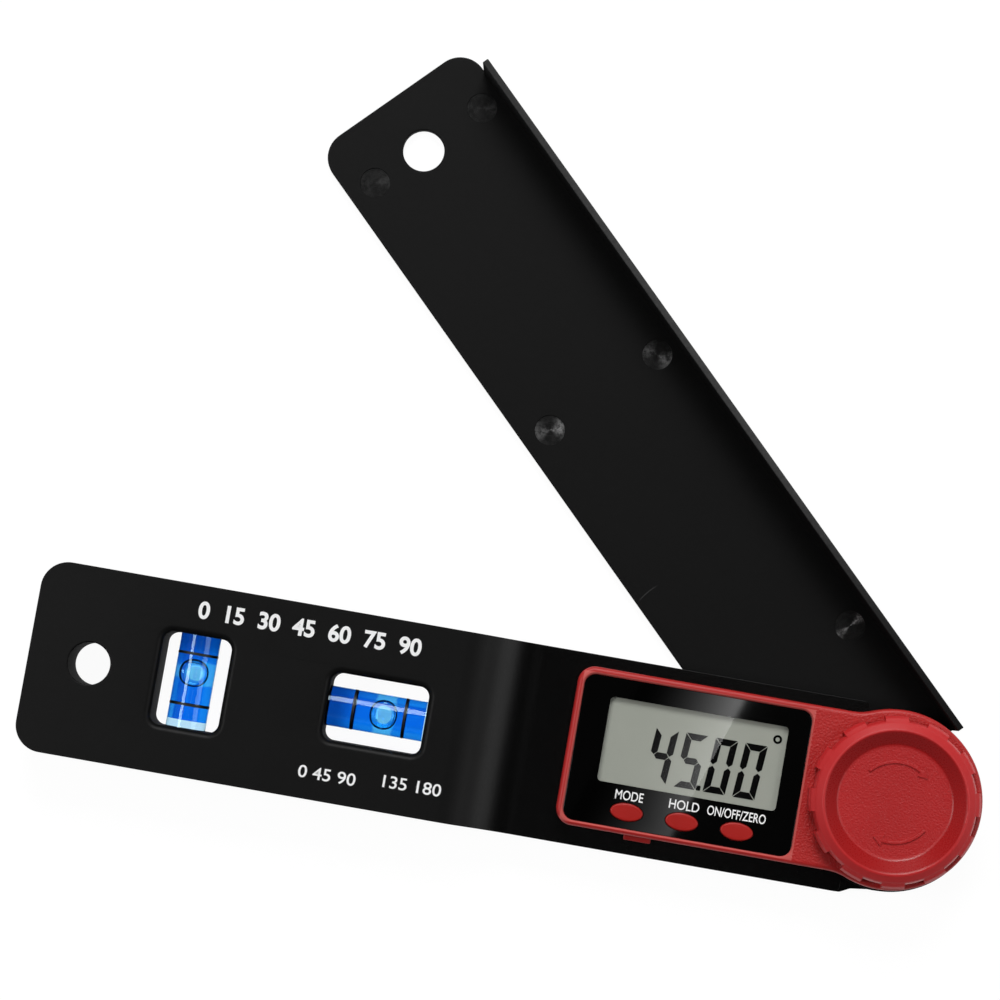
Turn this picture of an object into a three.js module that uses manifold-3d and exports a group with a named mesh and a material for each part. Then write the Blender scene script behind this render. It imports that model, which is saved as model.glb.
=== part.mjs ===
// Digital angle finder: a front arm with display and level vials, a rear blade, and a lock knob on their pivot.
// Millimetres, +Z towards the user. The origin is on the pivot axis, at the back face of the blade.
// The front arm lies along -X. The blade is drawn folded under it, then opened by turning its group.

import * as THREE from 'three';
import { mergeVertices } from 'three/addons/utils/BufferGeometryUtils.js';
import Module from 'manifold-3d';

const wasm = await Module();
wasm.setup();

// Driving dimensions
const reach = 205.5; // pivot axis to the tip of either arm
const openAngle = 45; // degrees between the arms as drawn
const frontWidth = 45; // front arm, edge to edge
const upperEdge = 21.9; // pivot axis to the upper edge of the front arm
const bladeThickness = 2.4;
const armClearance = 0.6; // between the blade and the back of the front arm
const blockDepth = 13; // front arm where it holds the vials
const deckDepth = 7.5; // front arm under the display casing
const casingHeight = 6.6; // display casing above the deck
const wall = 2; // moulded walls of the front arm
const fit = 0.15; // clearance of a piece in its seat
const slack = 0.1; // clearance under a piece that lies on another
const running = 0.08; // radial clearance of the bolt in what turns on it
const overrun = 1; // how far a cut runs past a face

// Levels above the back of the blade
const back = bladeThickness + armClearance;
const face = back + blockDepth;
const deck = back + deckDepth;
const casingTop = deck + casingHeight;
const lowerEdge = upperEdge - frontWidth;
const armLine = (upperEdge + lowerEdge) / 2;

// Half the number of steps that an arc of a rounded form is drawn with
const steps = { corner: 2, small: 5, hole: 10, round: 16, big: 24 };

// Solids from three.js geometry

function solid(geometry) {
  geometry.deleteAttribute('normal');
  geometry.deleteAttribute('uv');
  const merged = mergeVertices(geometry);
  const points = merged.attributes.position.array;
  const corners = [];
  const at = (i) => new THREE.Vector3().fromArray(points, 3 * i);
  let volume = 0;
  for (let i = 0; i < merged.index.count; i += 3) {
    const [a, b, c] = [0, 1, 2].map((k) => merged.index.getX(i + k));
    if (a === b || b === c || c === a) continue;
    corners.push(a, b, c);
    volume += at(a).dot(at(b).cross(at(c)));
  }
  if (volume < 0) corners.reverse();
  return new wasm.Manifold(new wasm.Mesh({
    numProp: 3,
    vertProperties: Float32Array.from(points),
    triVerts: Uint32Array.from(corners),
  }));
}

const join = (first, ...others) => others.reduce((body, other) => body.add(other), first);
const cut = (body, ...tools) => tools.reduce((left, tool) => left.subtract(tool), body);

// Straight prism of an outline in XY between two levels.
function prism(outline, low, high, count = steps.corner) {
  const options = { depth: high - low, bevelEnabled: false, curveSegments: count };
  return solid(new THREE.ExtrudeGeometry(outline, options).translate(0, 0, low));
}

const rounded = (depth, edge, count) => ({
  depth, bevelEnabled: true, bevelThickness: edge, bevelSize: edge, bevelOffset: -edge, bevelSegments: 2,
  curveSegments: count,
});

// The same with its upper edges rounded over.
function softPrism(outline, low, high, edge, count = steps.corner) {
  const options = rounded(high - low, edge, count);
  const body = solid(new THREE.ExtrudeGeometry(outline, options).translate(0, 0, low - edge));
  const size = 4 * reach;
  const under = new THREE.BoxGeometry(size, size, size).translate(0, 0, low - size / 2);
  return body.subtract(solid(under));
}

// Prism of an outline in XZ, between two places along Y, with the edges of both ends rounded if asked.
function alongY(outline, from, to, count = steps.corner, edge = 0) {
  const options = edge > 0
    ? rounded(to - from - 2 * edge, edge, count)
    : { depth: to - from, bevelEnabled: false, curveSegments: count };
  const turn = new THREE.Matrix4().makeRotationX(Math.PI / 2);
  return solid(new THREE.ExtrudeGeometry(outline, options).applyMatrix4(turn).translate(0, to - edge, 0));
}

// Prism of an outline in YZ, between two places along X.
function alongX(outline, from, to, count = steps.corner) {
  const options = { depth: to - from, bevelEnabled: false, curveSegments: count };
  const turn = new THREE.Matrix4().makeBasis(
    new THREE.Vector3(0, 1, 0), new THREE.Vector3(0, 0, 1), new THREE.Vector3(1, 0, 0));
  return solid(new THREE.ExtrudeGeometry(outline, options).applyMatrix4(turn).translate(from, 0, 0));
}

// A profile of [radius, level] pairs turned about an upright axis.
function turned(profile, x = 0, y = 0, count = steps.round) {
  const line = profile.map(([radius, level]) => new THREE.Vector2(radius, level));
  return solid(new THREE.LatheGeometry(line, 2 * count).rotateX(Math.PI / 2).translate(x, y, 0));
}

function polygon(points) {
  return new THREE.Shape(points.map(([x, y]) => new THREE.Vector2(x, y)));
}

// Rectangle with one corner radius at its left end and another at its right end.
function plate(x0, y0, x1, y1, left, right = left) {
  const shape = new THREE.Shape();
  shape.moveTo(x0 + left, y0);
  shape.absarc(x1 - right, y0 + right, right, -Math.PI / 2, 0, false);
  shape.absarc(x1 - right, y1 - right, right, 0, Math.PI / 2, false);
  shape.absarc(x0 + left, y1 - left, left, Math.PI / 2, Math.PI, false);
  shape.absarc(x0 + left, y0 + left, left, Math.PI, 1.5 * Math.PI, false);
  return shape;
}

const centred = (x, y, length, width, corner) =>
  plate(x - length / 2, y - width / 2, x + length / 2, y + width / 2, corner);
const box = (x0, y0, x1, y1) => polygon([[x0, y0], [x1, y0], [x1, y1], [x0, y1]]);

function ellipse(x, y, rx, ry = rx) {
  const shape = new THREE.Shape();
  shape.absellipse(x, y, rx, ry, 0, 2 * Math.PI, false);
  return shape;
}

const disc = (x, y, radius, low, high, count = steps.hole) => prism(ellipse(x, y, radius), low, high, count);
const ring = (inner, outer, low, high, x = 0, y = 0, count = steps.round) =>
  disc(x, y, outer, low, high, count).subtract(disc(x, y, inner, low - overrun, high + overrun, count));

// Part of a ring about the pivot, centred on an angle in degrees.
function sector(inner, outer, angle, width, low, high, x = 0, y = 0) {
  const [from, to] = [angle - width / 2, angle + width / 2].map(THREE.MathUtils.degToRad);
  const shape = new THREE.Shape();
  shape.absarc(x, y, outer, from, to, false);
  shape.absarc(x, y, inner, to, from, true);
  return prism(shape, low, high);
}

// Materials and the assembly

const plastic = (color, roughness) => new THREE.MeshStandardMaterial({ color, roughness, metalness: 0 });
const metal = (color, roughness) => new THREE.MeshStandardMaterial({ color, roughness, metalness: 1 });
const blackPlastic = plastic(0x18181a, 0.45);
const redPlastic = plastic(0xb4262a, 0.4);
const glossBlack = plastic(0x050506, 0.08);
const lcdGrey = plastic(0xa0a49c, 0.3);
const boardGreen = plastic(0x1d5a34, 0.5);
const rubberGrey = plastic(0x3c3c40, 0.8);
const clear = (color, opacity) =>
  new THREE.MeshStandardMaterial({ color, opacity, roughness: 0.1, transparent: true });
const clearAcrylic = clear(0xdfeefa, 0.4);
const blueFluid = clear(0x1560e8, 0.8);
const whiteAcetal = plastic(0xe6e4dc, 0.5);
const steel = metal(0xb9bcc0, 0.35);
const brass = metal(0xc9a452, 0.35);
const copper = metal(0xc47f4e, 0.4);

const angleFinder = new THREE.Group();
const blade = new THREE.Group();
blade.rotation.z = -THREE.MathUtils.degToRad(openAngle);
angleFinder.add(blade);

function piece(name, body, material, group = angleFinder) {
  const { vertProperties, triVerts } = body.getMesh();
  const geometry = new THREE.BufferGeometry();
  geometry.setAttribute('position', new THREE.BufferAttribute(Float32Array.from(vertProperties), 3));
  geometry.setIndex(new THREE.BufferAttribute(Uint32Array.from(triVerts), 1));
  geometry.computeVertexNormals();
  const mesh = new THREE.Mesh(geometry, material);
  mesh.name = name;
  group.add(mesh);
}

// Screws: countersunk or pan headed, driven towards +Z

const screw = { head: 2.3, headHeight: 1.1, rim: 0.25, shank: 1.1, length: 4.7 };

function screwProfile(low, length, grow = 0) {
  const [head, shank] = [screw.head + grow, screw.shank + grow];
  return [[0, low], [head, low], [head, low + screw.rim + grow], [shank, low + screw.headHeight + grow],
    [shank, low + length + grow], [0, low + length + grow]];
}

const panScrew = { head: 2.1, headHeight: 1.2, crown: 0.4, shank: 1.1, length: 4.4 };

function panProfile(seat) {
  const { crown } = panScrew;
  return [[0, seat - panScrew.headHeight], [panScrew.head - crown, seat - panScrew.headHeight],
    [panScrew.head, seat - panScrew.headHeight + crown], [panScrew.head, seat - slack],
    [panScrew.shank, seat - slack], [panScrew.shank, seat + panScrew.length], [0, seat + panScrew.length]];
}

// Display, the lens and the casing about it, placed from the pivot
const lcd = { y: 3, length: 45.4, width: 22.8, thickness: 2.1, corner: 0.6 };
const lensRight = -21.7; // clear of the lock knob
const lensMargin = { right: 3.4, left: 5, casing: 1.7 };
const displayX = lensRight - lensMargin.right - lcd.length / 2;
const casingLine = 0.45;
const lens = {
  left: displayX - lcd.length / 2 - lensMargin.left, right: lensRight,
  low: -16.95, high: 17.4, corner: 2.7, thickness: 0.8, inset: 0.4, shelf: 1,
};
const casing = {
  left: lens.left - lensMargin.casing,
  halfWidth: 18.95, corner: 4, boss: 21.2, flare: 12, edge: 1, shell: 1.6, post: 2.3, floor: 1.4,
};

// What lies between the tip and the casing is placed by shares of that length, for both arms alike.
const section = reach + casing.left;
const sectionShares = {
  hanging: 0.113, upright: 0.3024, level: 0.6461, across: 0.127, along: 0.1824, ramp: 0.2128,
};
const alongArm = (share) => share * section - reach;
const hanging = { radius: 5 };
const hangingX = alongArm(sectionShares.hanging);

// Vials and their windows in the front arm
const vial = { radius: 4.75, seat: 1.4, bore: 3.9, end: 2.7, bubble: 3.3, bubbleDepth: 2.2 };
const windowCorner = 2.4;
const uprightWindow = {
  x: alongArm(sectionShares.upright), along: 21.4, across: sectionShares.across * section, bubble: 2,
};
const levelWindow = {
  x: alongArm(sectionShares.level), along: sectionShares.along * section, across: 15.4, bubble: 1.7,
};
const coverThickness = 1.4;
const inside = back + coverThickness; // the level where the hollow of the arm starts
const vialAxis = inside + slack + vial.radius;

// Keys through the lens
const lensSeat = casingTop - lens.inset - lens.thickness;
const keys = { pitch: 13, y: -13.1, rx: 3.85, ry: 2.05, proud: 0.5, travel: 0.5, collar: 0.6 };
const keyX = [-1, 0, 1].map((place) => displayX + place * keys.pitch);

// Pivot stack, worked out upwards and downwards from the web of the front arm
const pivot = {
  bolt: 3, neck: 6, head: 8, headHeight: 1.4, hub: 21.3, hubWall: 2.1, web: 3,
  stator: 1.3, rotor: 0.8, encoderGap: 0.5, statorHole: 8, ringClear: 0.5, bush: 6.8, column: 10.4,
};
const bore = pivot.bolt + running;
const webUnder = deck - pivot.web;
const rotorSeat = webUnder - pivot.stator - pivot.encoderGap - pivot.rotor;
const cavity = pivot.hub - pivot.hubWall;
const pad = cavity - pivot.ringClear;

// Blade: flat plate with a flange along its upper edge and a raised pad about the pivot
const bladeSizes = {
  free: 21.6, corner: 7, flange: 1.6, flangeHeight: 14.3, flangeStart: 4.4, flangeFromTip: 7.5, root: 0.8,
};
const nestInner = upperEdge + 2 * fit;
const nestOuter = nestInner + bladeSizes.flange;
const bladeLine = (nestOuter - bladeSizes.free) / 2;
// Round marks left by the ejector pins of the mould, at shares of the reach
const marks = { radius: 3.65, depth: 0.25, fromLine: 15.75 };
const markShares = [0.188, 0.575, 0.931];

{
  const s = bladeSizes;
  const flat = prism(plate(-reach, -s.free, -s.flangeStart, nestOuter, s.corner, 0), 0, bladeThickness);
  const shoulder = prism(box(-reach / 2, -s.free, 0, s.free), 0, bladeThickness);
  const end = disc(0, 0, s.free, 0, bladeThickness, steps.big);
  const flangeTip = s.flangeFromTip - reach;
  const flange = prism(box(flangeTip, nestInner, -s.flangeStart, nestOuter), 0, s.flangeHeight);
  const fillet = new THREE.Shape();
  fillet.moveTo(nestInner + s.flange / 2, bladeThickness - s.root);
  fillet.lineTo(nestInner + s.flange / 2, bladeThickness + s.root);
  fillet.absarc(nestInner - s.root, bladeThickness + s.root, s.root, 0, -Math.PI / 2, true);
  fillet.lineTo(nestInner - s.root, bladeThickness - s.root);
  const root = alongX(fillet, flangeTip, -s.flangeStart);
  const raised = disc(0, 0, pad, 0, rotorSeat, steps.round);
  const body = join(flat, shoulder, end, flange, root, raised);
  const neckHole = centred(0, 0, pivot.neck + 2 * fit, pivot.neck + 2 * fit, fit);
  const cuts = [
    disc(hangingX, armLine, hanging.radius, -overrun, bladeThickness + overrun),
    disc(0, 0, pivot.head + fit, -overrun, pivot.headHeight + slack, steps.round),
    prism(neckHole, -overrun, rotorSeat + overrun),
  ];
  for (const share of markShares) {
    for (const side of [-1, 1]) {
      const y = bladeLine + side * marks.fromLine;
      const floor = bladeThickness - marks.depth;
      cuts.push(disc(-share * reach, y, marks.radius, floor, bladeThickness + overrun));
    }
  }
  piece('blade', cut(body, ...cuts), blackPlastic, blade);
  const clearance = pivot.ringClear;
  const rotor = ring(pivot.statorHole + clearance, pad - clearance, rotorSeat, rotorSeat + pivot.rotor);
  piece('encoder_rotor', rotor, copper, blade);
  piece('pivot_bush', ring(bore, pivot.bush, rotorSeat, webUnder - slack), whiteAcetal, blade);
}

// Lock knob and what it screws to

const knob = {
  gap: 0.2, base: 3.1, recess: 2.6, floor: 13.3, mouth: 16.5, lip: 0.45, ring: 18.9, top: 18.1, tooth: 20.05,
  toothHeight: 2.5, shell: 1.9, stem: 8.2, crown: 1.2,
};
const teeth = { count: 12, width: 16, phase: 8 }; // width and phase in degrees
const nut = { across: 8, height: 4 };
const washer = { inner: 3.5, outer: 7.8, thickness: 0.4, wave: 0.25, waves: 3 };
const columnFloor = deck + casing.floor;
const stemBottom = columnFloor + slack + washer.thickness + 2 * washer.wave + slack;
const nutLow = stemBottom + slack;
const nutHigh = nutLow + nut.height;
const boltTop = nutHigh + overrun;
const knobUnder = casingTop + knob.gap;
const knobFloor = knobUnder + knob.base;
const knobTop = knobFloor + knob.recess;

{
  const head = disc(0, 0, pivot.head, 0, pivot.headHeight, steps.round);
  const neck = prism(centred(0, 0, pivot.neck, pivot.neck, fit), pivot.headHeight / 2, rotorSeat - slack);
  const shank = disc(0, 0, pivot.bolt, pivot.headHeight / 2, boltTop, steps.hole);
  piece('pivot_bolt', join(head, neck, shank), steel, blade);
}

{
  const k = knob;
  const profile = [
    [0, knobFloor], [k.floor, knobFloor], [k.mouth, knobTop - k.lip], [k.mouth + k.lip, knobTop],
    [k.top, knobTop], [k.ring, knobTop + k.top - k.ring], [k.ring, knobUnder], [k.mouth, knobUnder],
    [k.mouth, knobFloor - k.crown], [k.stem + k.shell, knobFloor - k.crown], [k.stem + k.shell, knobUnder],
    [k.stem, knobUnder], [k.stem, stemBottom], [0, stemBottom],
  ];
  const body = turned(profile, 0, 0, steps.big);
  const grips = Array.from({ length: teeth.count }, (_, i) => sector((k.mouth + k.ring) / 2, k.tooth,
    teeth.phase + (i * 360) / teeth.count, teeth.width, knobUnder, knobUnder + k.toothHeight));
  const hexagon = (across) => ellipse(0, 0, across / Math.sqrt(3));
  const pocket = prism(hexagon(nut.across + 2 * fit), stemBottom - overrun, nutHigh + slack, 3);
  const boltHole = disc(0, 0, pivot.bolt + fit, stemBottom, boltTop + 2 * fit);
  piece('lock_knob', cut(join(body, ...grips), pocket, boltHole), redPlastic);
  const blank = prism(hexagon(nut.across), nutLow, nutHigh, 3);
  piece('knob_nut', cut(blank, disc(0, 0, pivot.bolt + fit, nutLow - overrun, nutHigh + overrun)), brass);
}

// Wave washer that keeps the joint firm while the knob is loose
{
  const outline = ellipse(0, 0, washer.outer);
  outline.holes.push(ellipse(0, 0, washer.inner));
  const options = { depth: washer.thickness, bevelEnabled: false, curveSegments: steps.round };
  const geometry = new THREE.ExtrudeGeometry(outline, options);
  const points = geometry.attributes.position;
  for (let i = 0; i < points.count; i += 1) {
    const angle = Math.atan2(points.getY(i), points.getX(i));
    points.setZ(i, points.getZ(i) + washer.wave * Math.cos(washer.waves * angle));
  }
  piece('wave_washer', solid(geometry.translate(0, 0, columnFloor + slack + washer.wave)), steel);
}

// Front arm: vial block, ramp and deck in one moulding, open at the back

const ramp = { start: casing.left - sectionShares.ramp * section, shoulder: 12, foot: 22, angle: 30 };
const armSizes = {
  tipCorner: 6.5, nearEnd: 8.4, nearCorner: 1.2, edge: 0.6, rebate: 0.8, ledgeEnd: 5, ledgeDrop: 1.2, rib: 1.2,
};
const coverWall = wall - armSizes.rebate;
const post = { radius: 2.7, inset: 6 };
const betweenWindows = (uprightWindow.x + levelWindow.x) / 2;
const shankEnd = back + screw.length + slack;
const coverScrewPlaces = [];
for (const x of [post.inset - reach, betweenWindows, casing.left - post.inset / 2, lens.right - post.inset]) {
  for (const y of [upperEdge - post.inset, lowerEdge + post.inset]) coverScrewPlaces.push([x, y]);
}
// Screws of the casing: two through its left end, two beside the boss
const casingScrewPlaces = [];
for (const side of [-1, 1]) {
  const left = casing.left + casing.shell + casing.post - fit;
  casingScrewPlaces.push([left, casingLine + side * (casing.halfWidth - post.inset)]);
  const rise = casing.halfWidth - casing.shell - casing.post + fit;
  casingScrewPlaces.push([lens.right + casing.post, casingLine + side * rise]);
}
const battery = { x: displayX, radius: 10, height: 3.2 };
const board = { margin: 0.6, halfWidth: 14.2, thickness: 1.2, sink: 0.3, ledge: 1.8, corner: 1 };
board.left = displayX - lcd.length / 2 - slack;
board.right = displayX + lcd.length / 2 + board.margin;
const boardOutline = (grow) => plate(board.left - grow, casingLine - board.halfWidth - grow,
  board.right + grow, casingLine + board.halfWidth + grow, board.corner);
const boardUnder = deck - board.sink;
const boardTop = boardUnder + board.thickness;

// The ramp is a convex arc, a straight and a concave arc.
const rampAngle = THREE.MathUtils.degToRad(ramp.angle);
const rampArcs = ramp.shoulder + ramp.foot;
const rampFall = face - deck - rampArcs * (1 - Math.cos(rampAngle));
const rampEnd = ramp.start + rampArcs * Math.sin(rampAngle) + rampFall / Math.tan(rampAngle);

// Side view of the arm from beyond its tip to the pivot, at a depth under the outside.
function armProfile(depth) {
  const [shoulder, foot] = [ramp.shoulder - depth, ramp.foot + depth];
  const [quarter, low] = [Math.PI / 2, back - overrun];
  const shape = new THREE.Shape();
  shape.moveTo(-reach - overrun, low);
  shape.lineTo(0, low);
  shape.lineTo(0, deck - depth);
  shape.absarc(rampEnd, deck - depth + foot, foot, -quarter, -quarter - rampAngle, true);
  shape.absarc(ramp.start, face - depth - shoulder, shoulder, quarter - rampAngle, quarter, false);
  shape.lineTo(-reach - overrun, face - depth);
  return shape;
}

// Outlines of the two vial windows, grown by a margin.
const vialWindows = (grow = 0) => [
  [uprightWindow.x, uprightWindow.across, uprightWindow.along],
  [levelWindow.x, levelWindow.along, levelWindow.across],
].map(([x, length, width]) => centred(x, armLine, length + 2 * grow, width + 2 * grow, windowCorner + grow));

// Space for a vial, open to the back: the round end seats and the way in.
function vialSeat(window, upright) {
  const half = window.along / 2 + vial.seat + slack;
  const r = vial.radius + slack;
  const slot = new THREE.Shape();
  slot.moveTo(-r, inside - vialAxis - overrun);
  slot.lineTo(r, inside - vialAxis - overrun);
  slot.absarc(0, 0, r, 0, Math.PI, false);
  const shape = upright ? alongY(slot, -half, half, steps.small) : alongX(slot, -half, half, steps.small);
  return shape.translate([window.x, armLine, vialAxis]);
}

{
  const s = armSizes;
  const outer = plate(-reach, lowerEdge, -s.nearEnd, upperEdge, s.tipCorner, s.nearCorner);
  outer.holes.push(...vialWindows());
  const beam = softPrism(outer, back, face, s.edge)
    .intersect(alongY(armProfile(0), lowerEdge, upperEdge, steps.corner, s.edge));
  const hub = disc(0, 0, pivot.hub, back, deck, steps.big);
  const ledgeOutline = box(-s.nearEnd - s.nearCorner, lowerEdge + s.ledgeDrop, -s.ledgeEnd, 0);
  const ledge = prism(ledgeOutline, back, deck - s.edge);
  let body = join(beam, hub, ledge);

  // Hollow from the back, under a roof that follows the ramp, and the rebate for the back cover.
  const inner = (inset) =>
    plate(inset - reach, lowerEdge + inset, -s.nearEnd - wall, upperEdge - inset, s.tipCorner - inset, 0);
  const hollow = prism(inner(wall), back - overrun, face)
    .intersect(alongY(armProfile(wall), lowerEdge, upperEdge));
  const rebate = prism(inner(coverWall), back - overrun, inside);
  const pivotWall = disc(0, 0, pivot.hub, back - 2 * overrun, deck, steps.big);
  body = cut(body, cut(join(hollow, rebate), pivotWall));

  // Walls about the windows and the hanging hole, screw posts and cross ribs.
  const tubes = [
    ...vialWindows(wall).map((shape) => prism(shape, inside, face - s.edge)),
    disc(hangingX, armLine, hanging.radius + wall, inside, face - s.edge),
  ];
  const posts = coverScrewPlaces.map(([x, y]) => disc(x, y, post.radius, inside, face, steps.small));
  const ribPlaces = [(hangingX + uprightWindow.x) / 2, betweenWindows, ramp.start, rampEnd];
  const ribs = ribPlaces.map((x) =>
    prism(box(x - s.rib / 2, lowerEdge + wall / 2, x + s.rib / 2, upperEdge - wall / 2), inside + wall, face));
  const within = alongY(armProfile(wall / 2), lowerEdge, upperEdge);
  body = join(body, ...tubes, join(...ribs, ...posts).intersect(within));

  const { radius } = hanging;
  const hangingProfile = [[0, back - overrun], [radius, back - overrun], [radius, face - s.edge],
    [radius + s.edge, face], [radius + s.edge, face + overrun], [0, face + overrun]];
  const cuts = [
    ...vialWindows().map((shape) => prism(shape, back - overrun, face - s.edge)),
    turned(hangingProfile, hangingX, armLine, steps.hole),
    vialSeat(uprightWindow, true),
    vialSeat(levelWindow, false),
    disc(0, 0, cavity, back - overrun, webUnder, steps.round),
    disc(0, 0, bore, back, deck + overrun),
    prism(boardOutline(2 * fit), boardUnder, deck + overrun),
    prism(boardOutline(-board.ledge), back, deck),
    ...coverScrewPlaces.map(([x, y]) => disc(x, y, screw.shank + fit, back, shankEnd, steps.small)),
    ...casingScrewPlaces.map(([x, y]) => disc(x, y, panScrew.shank + fit, back, deck + overrun, steps.small)),
  ];
  piece('front_arm', cut(body, ...cuts), blackPlastic);
}

// Back cover in the rebate, with openings under the vials, the hanging hole and the battery

const door = {
  radius: 12.2, ring: 1.2, ringHeight: 2, lug: 1.4, lugHeight: 1, slotLength: 12, slotWidth: 1.6, slotDepth: 0.8,
};
const lugs = { angles: [0, 180], width: 24, play: 5, turn: 45 }; // in degrees

{
  const inset = coverWall + fit;
  const end = -armSizes.nearEnd - wall - fit;
  const corner = armSizes.tipCorner - inset;
  const [low, high] = [back - overrun, inside + overrun];
  const outline = plate(inset - reach, lowerEdge + inset, end, upperEdge - inset, corner, 0);
  outline.holes.push(...vialWindows());
  const sheet = cut(prism(outline, back, inside), disc(hangingX, armLine, hanging.radius, low, high));
  const notches = lugs.angles.map((angle) => sector(door.radius - door.ring, door.radius + door.lug + 2 * fit,
    angle - lugs.turn, lugs.width + lugs.play, low, high, battery.x, armLine));
  const cuts = [
    disc(0, 0, pivot.hub + fit, low, high, steps.big),
    disc(battery.x, armLine, door.radius + 2 * fit, low, high, steps.round),
    ...coverScrewPlaces.map(([x, y]) => turned(screwProfile(back - slack, screw.length, fit), x, y, steps.small)),
  ];
  piece('back_cover', cut(sheet, ...notches, ...cuts), blackPlastic);
}

coverScrewPlaces.forEach(([x, y], i) =>
  piece(`cover_screw_${i + 1}`, turned(screwProfile(back, screw.length), x, y, steps.small), steel));
casingScrewPlaces.forEach(([x, y], i) =>
  piece(`casing_screw_${i + 1}`, turned(panProfile(deck - wall), x, y, steps.small), steel));

// Battery door, turned with a coin, and the cell that it holds
{
  const d = door;
  const sheet = disc(battery.x, armLine, d.radius, back, inside, steps.round);
  const wallRing = ring(d.radius - 2 * d.ring, d.radius - d.ring / 2, inside - slack, inside + d.ringHeight,
    battery.x, armLine);
  const tongues = lugs.angles.map((angle) => sector(d.radius - d.ring, d.radius + d.lug, angle, lugs.width,
    inside + fit, inside + fit + d.lugHeight, battery.x, armLine));
  const slotOutline = centred(battery.x, armLine, d.slotLength, d.slotWidth, d.slotWidth / 3);
  const slot = prism(slotOutline, back - overrun, back + d.slotDepth);
  piece('battery_door', cut(join(sheet, wallRing, ...tongues), slot), blackPlastic);
}
const cellLow = inside + slack;
const cellHigh = cellLow + battery.height;
{
  const rim = 0.4;
  const r = battery.radius - 2 * fit;
  const profile = [[0, cellLow], [r - rim, cellLow], [r, cellLow + rim], [r, cellHigh - rim],
    [r - rim, cellHigh], [0, cellHigh]];
  piece('battery_cell', turned(profile, battery.x, armLine), steel);
}

// Contact springs of the cell, soldered to the underside of the board
{
  const leaf = { thickness: 0.25, width: 4 };
  const rise = battery.radius / 2;
  const x = battery.x;
  const t = leaf.thickness;
  const bent = polygon([
    [x - leaf.width - rise, boardUnder - t], [x - rise, boardUnder - t], [x, cellHigh + slack],
    [x + t, cellHigh + slack + t], [x - rise + t, boardUnder], [x - leaf.width - rise, boardUnder],
  ]);
  piece('negative_contact', alongY(bent, armLine - leaf.width / 2, armLine + leaf.width / 2), brass);
  const side = armLine + battery.radius - fit;
  const hook = polygon([
    [side, cellHigh - leaf.width / 4], [side + t, cellHigh - leaf.width / 4], [side + t, boardUnder - t],
    [side + t + leaf.width / 2, boardUnder - t], [side + t + leaf.width / 2, boardUnder], [side, boardUnder],
  ]);
  piece('positive_contact', alongX(hook, x - leaf.width / 2, x + leaf.width / 2), brass);
}

// Encoder, board, display and keys

piece('encoder_stator', ring(pivot.statorHole, pad, webUnder - pivot.stator, webUnder), boardGreen);

piece('main_board', prism(boardOutline(0), boardUnder, boardTop), boardGreen);

const glassTop = lensSeat - 2 * fit;
const glassUnder = glassTop - lcd.thickness;
{
  const outline = centred(displayX, lcd.y, lcd.length, lcd.width, lcd.corner);
  piece('lcd_glass', prism(outline, glassUnder, glassTop), lcdGrey);
  const strip = { inset: 2.7, width: 1.8, fromEdge: 1.6 };
  const y = lcd.y + lcd.width / 2 - strip.fromEdge;
  const stripOutline = centred(displayX, y, lcd.length - 2 * strip.inset, strip.width, fit);
  piece('lcd_connector', prism(stripOutline, boardTop, glassUnder), rubberGrey);
}

{
  const l = lens;
  const outline = plate(l.left, l.low, l.right, l.high, l.corner);
  for (const x of keyX) outline.holes.push(ellipse(x, keys.y, keys.rx + fit, keys.ry + fit));
  piece('display_lens', prism(outline, lensSeat, lensSeat + l.thickness, steps.hole), glossBlack);
}

const switchSize = { side: 4.6, height: 0.6, plunger: 1, plungerHeight: 0.35 };
const plungerTop = boardTop + switchSize.height + switchSize.plungerHeight;
['mode', 'hold', 'power'].forEach((name, i) => {
  const { rx, ry, y } = keys;
  const square = centred(keyX[i], y, switchSize.side, switchSize.side, fit);
  const plunger = disc(keyX[i], y, switchSize.plunger, boardTop, plungerTop, steps.small);
  piece(`${name}_switch`, join(prism(square, boardTop, boardTop + switchSize.height), plunger), rubberGrey);
  const sole = plungerTop + keys.travel + slack;
  const cap = softPrism(ellipse(keyX[i], y, rx, ry), sole, casingTop - lens.inset + keys.proud, fit, steps.hole);
  const flange = ellipse(keyX[i], y, rx + keys.collar, ry + keys.collar);
  piece(`${name}_key`, join(cap, prism(flange, sole, lensSeat - 2 * fit, steps.hole)), redPlastic);
});

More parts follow.
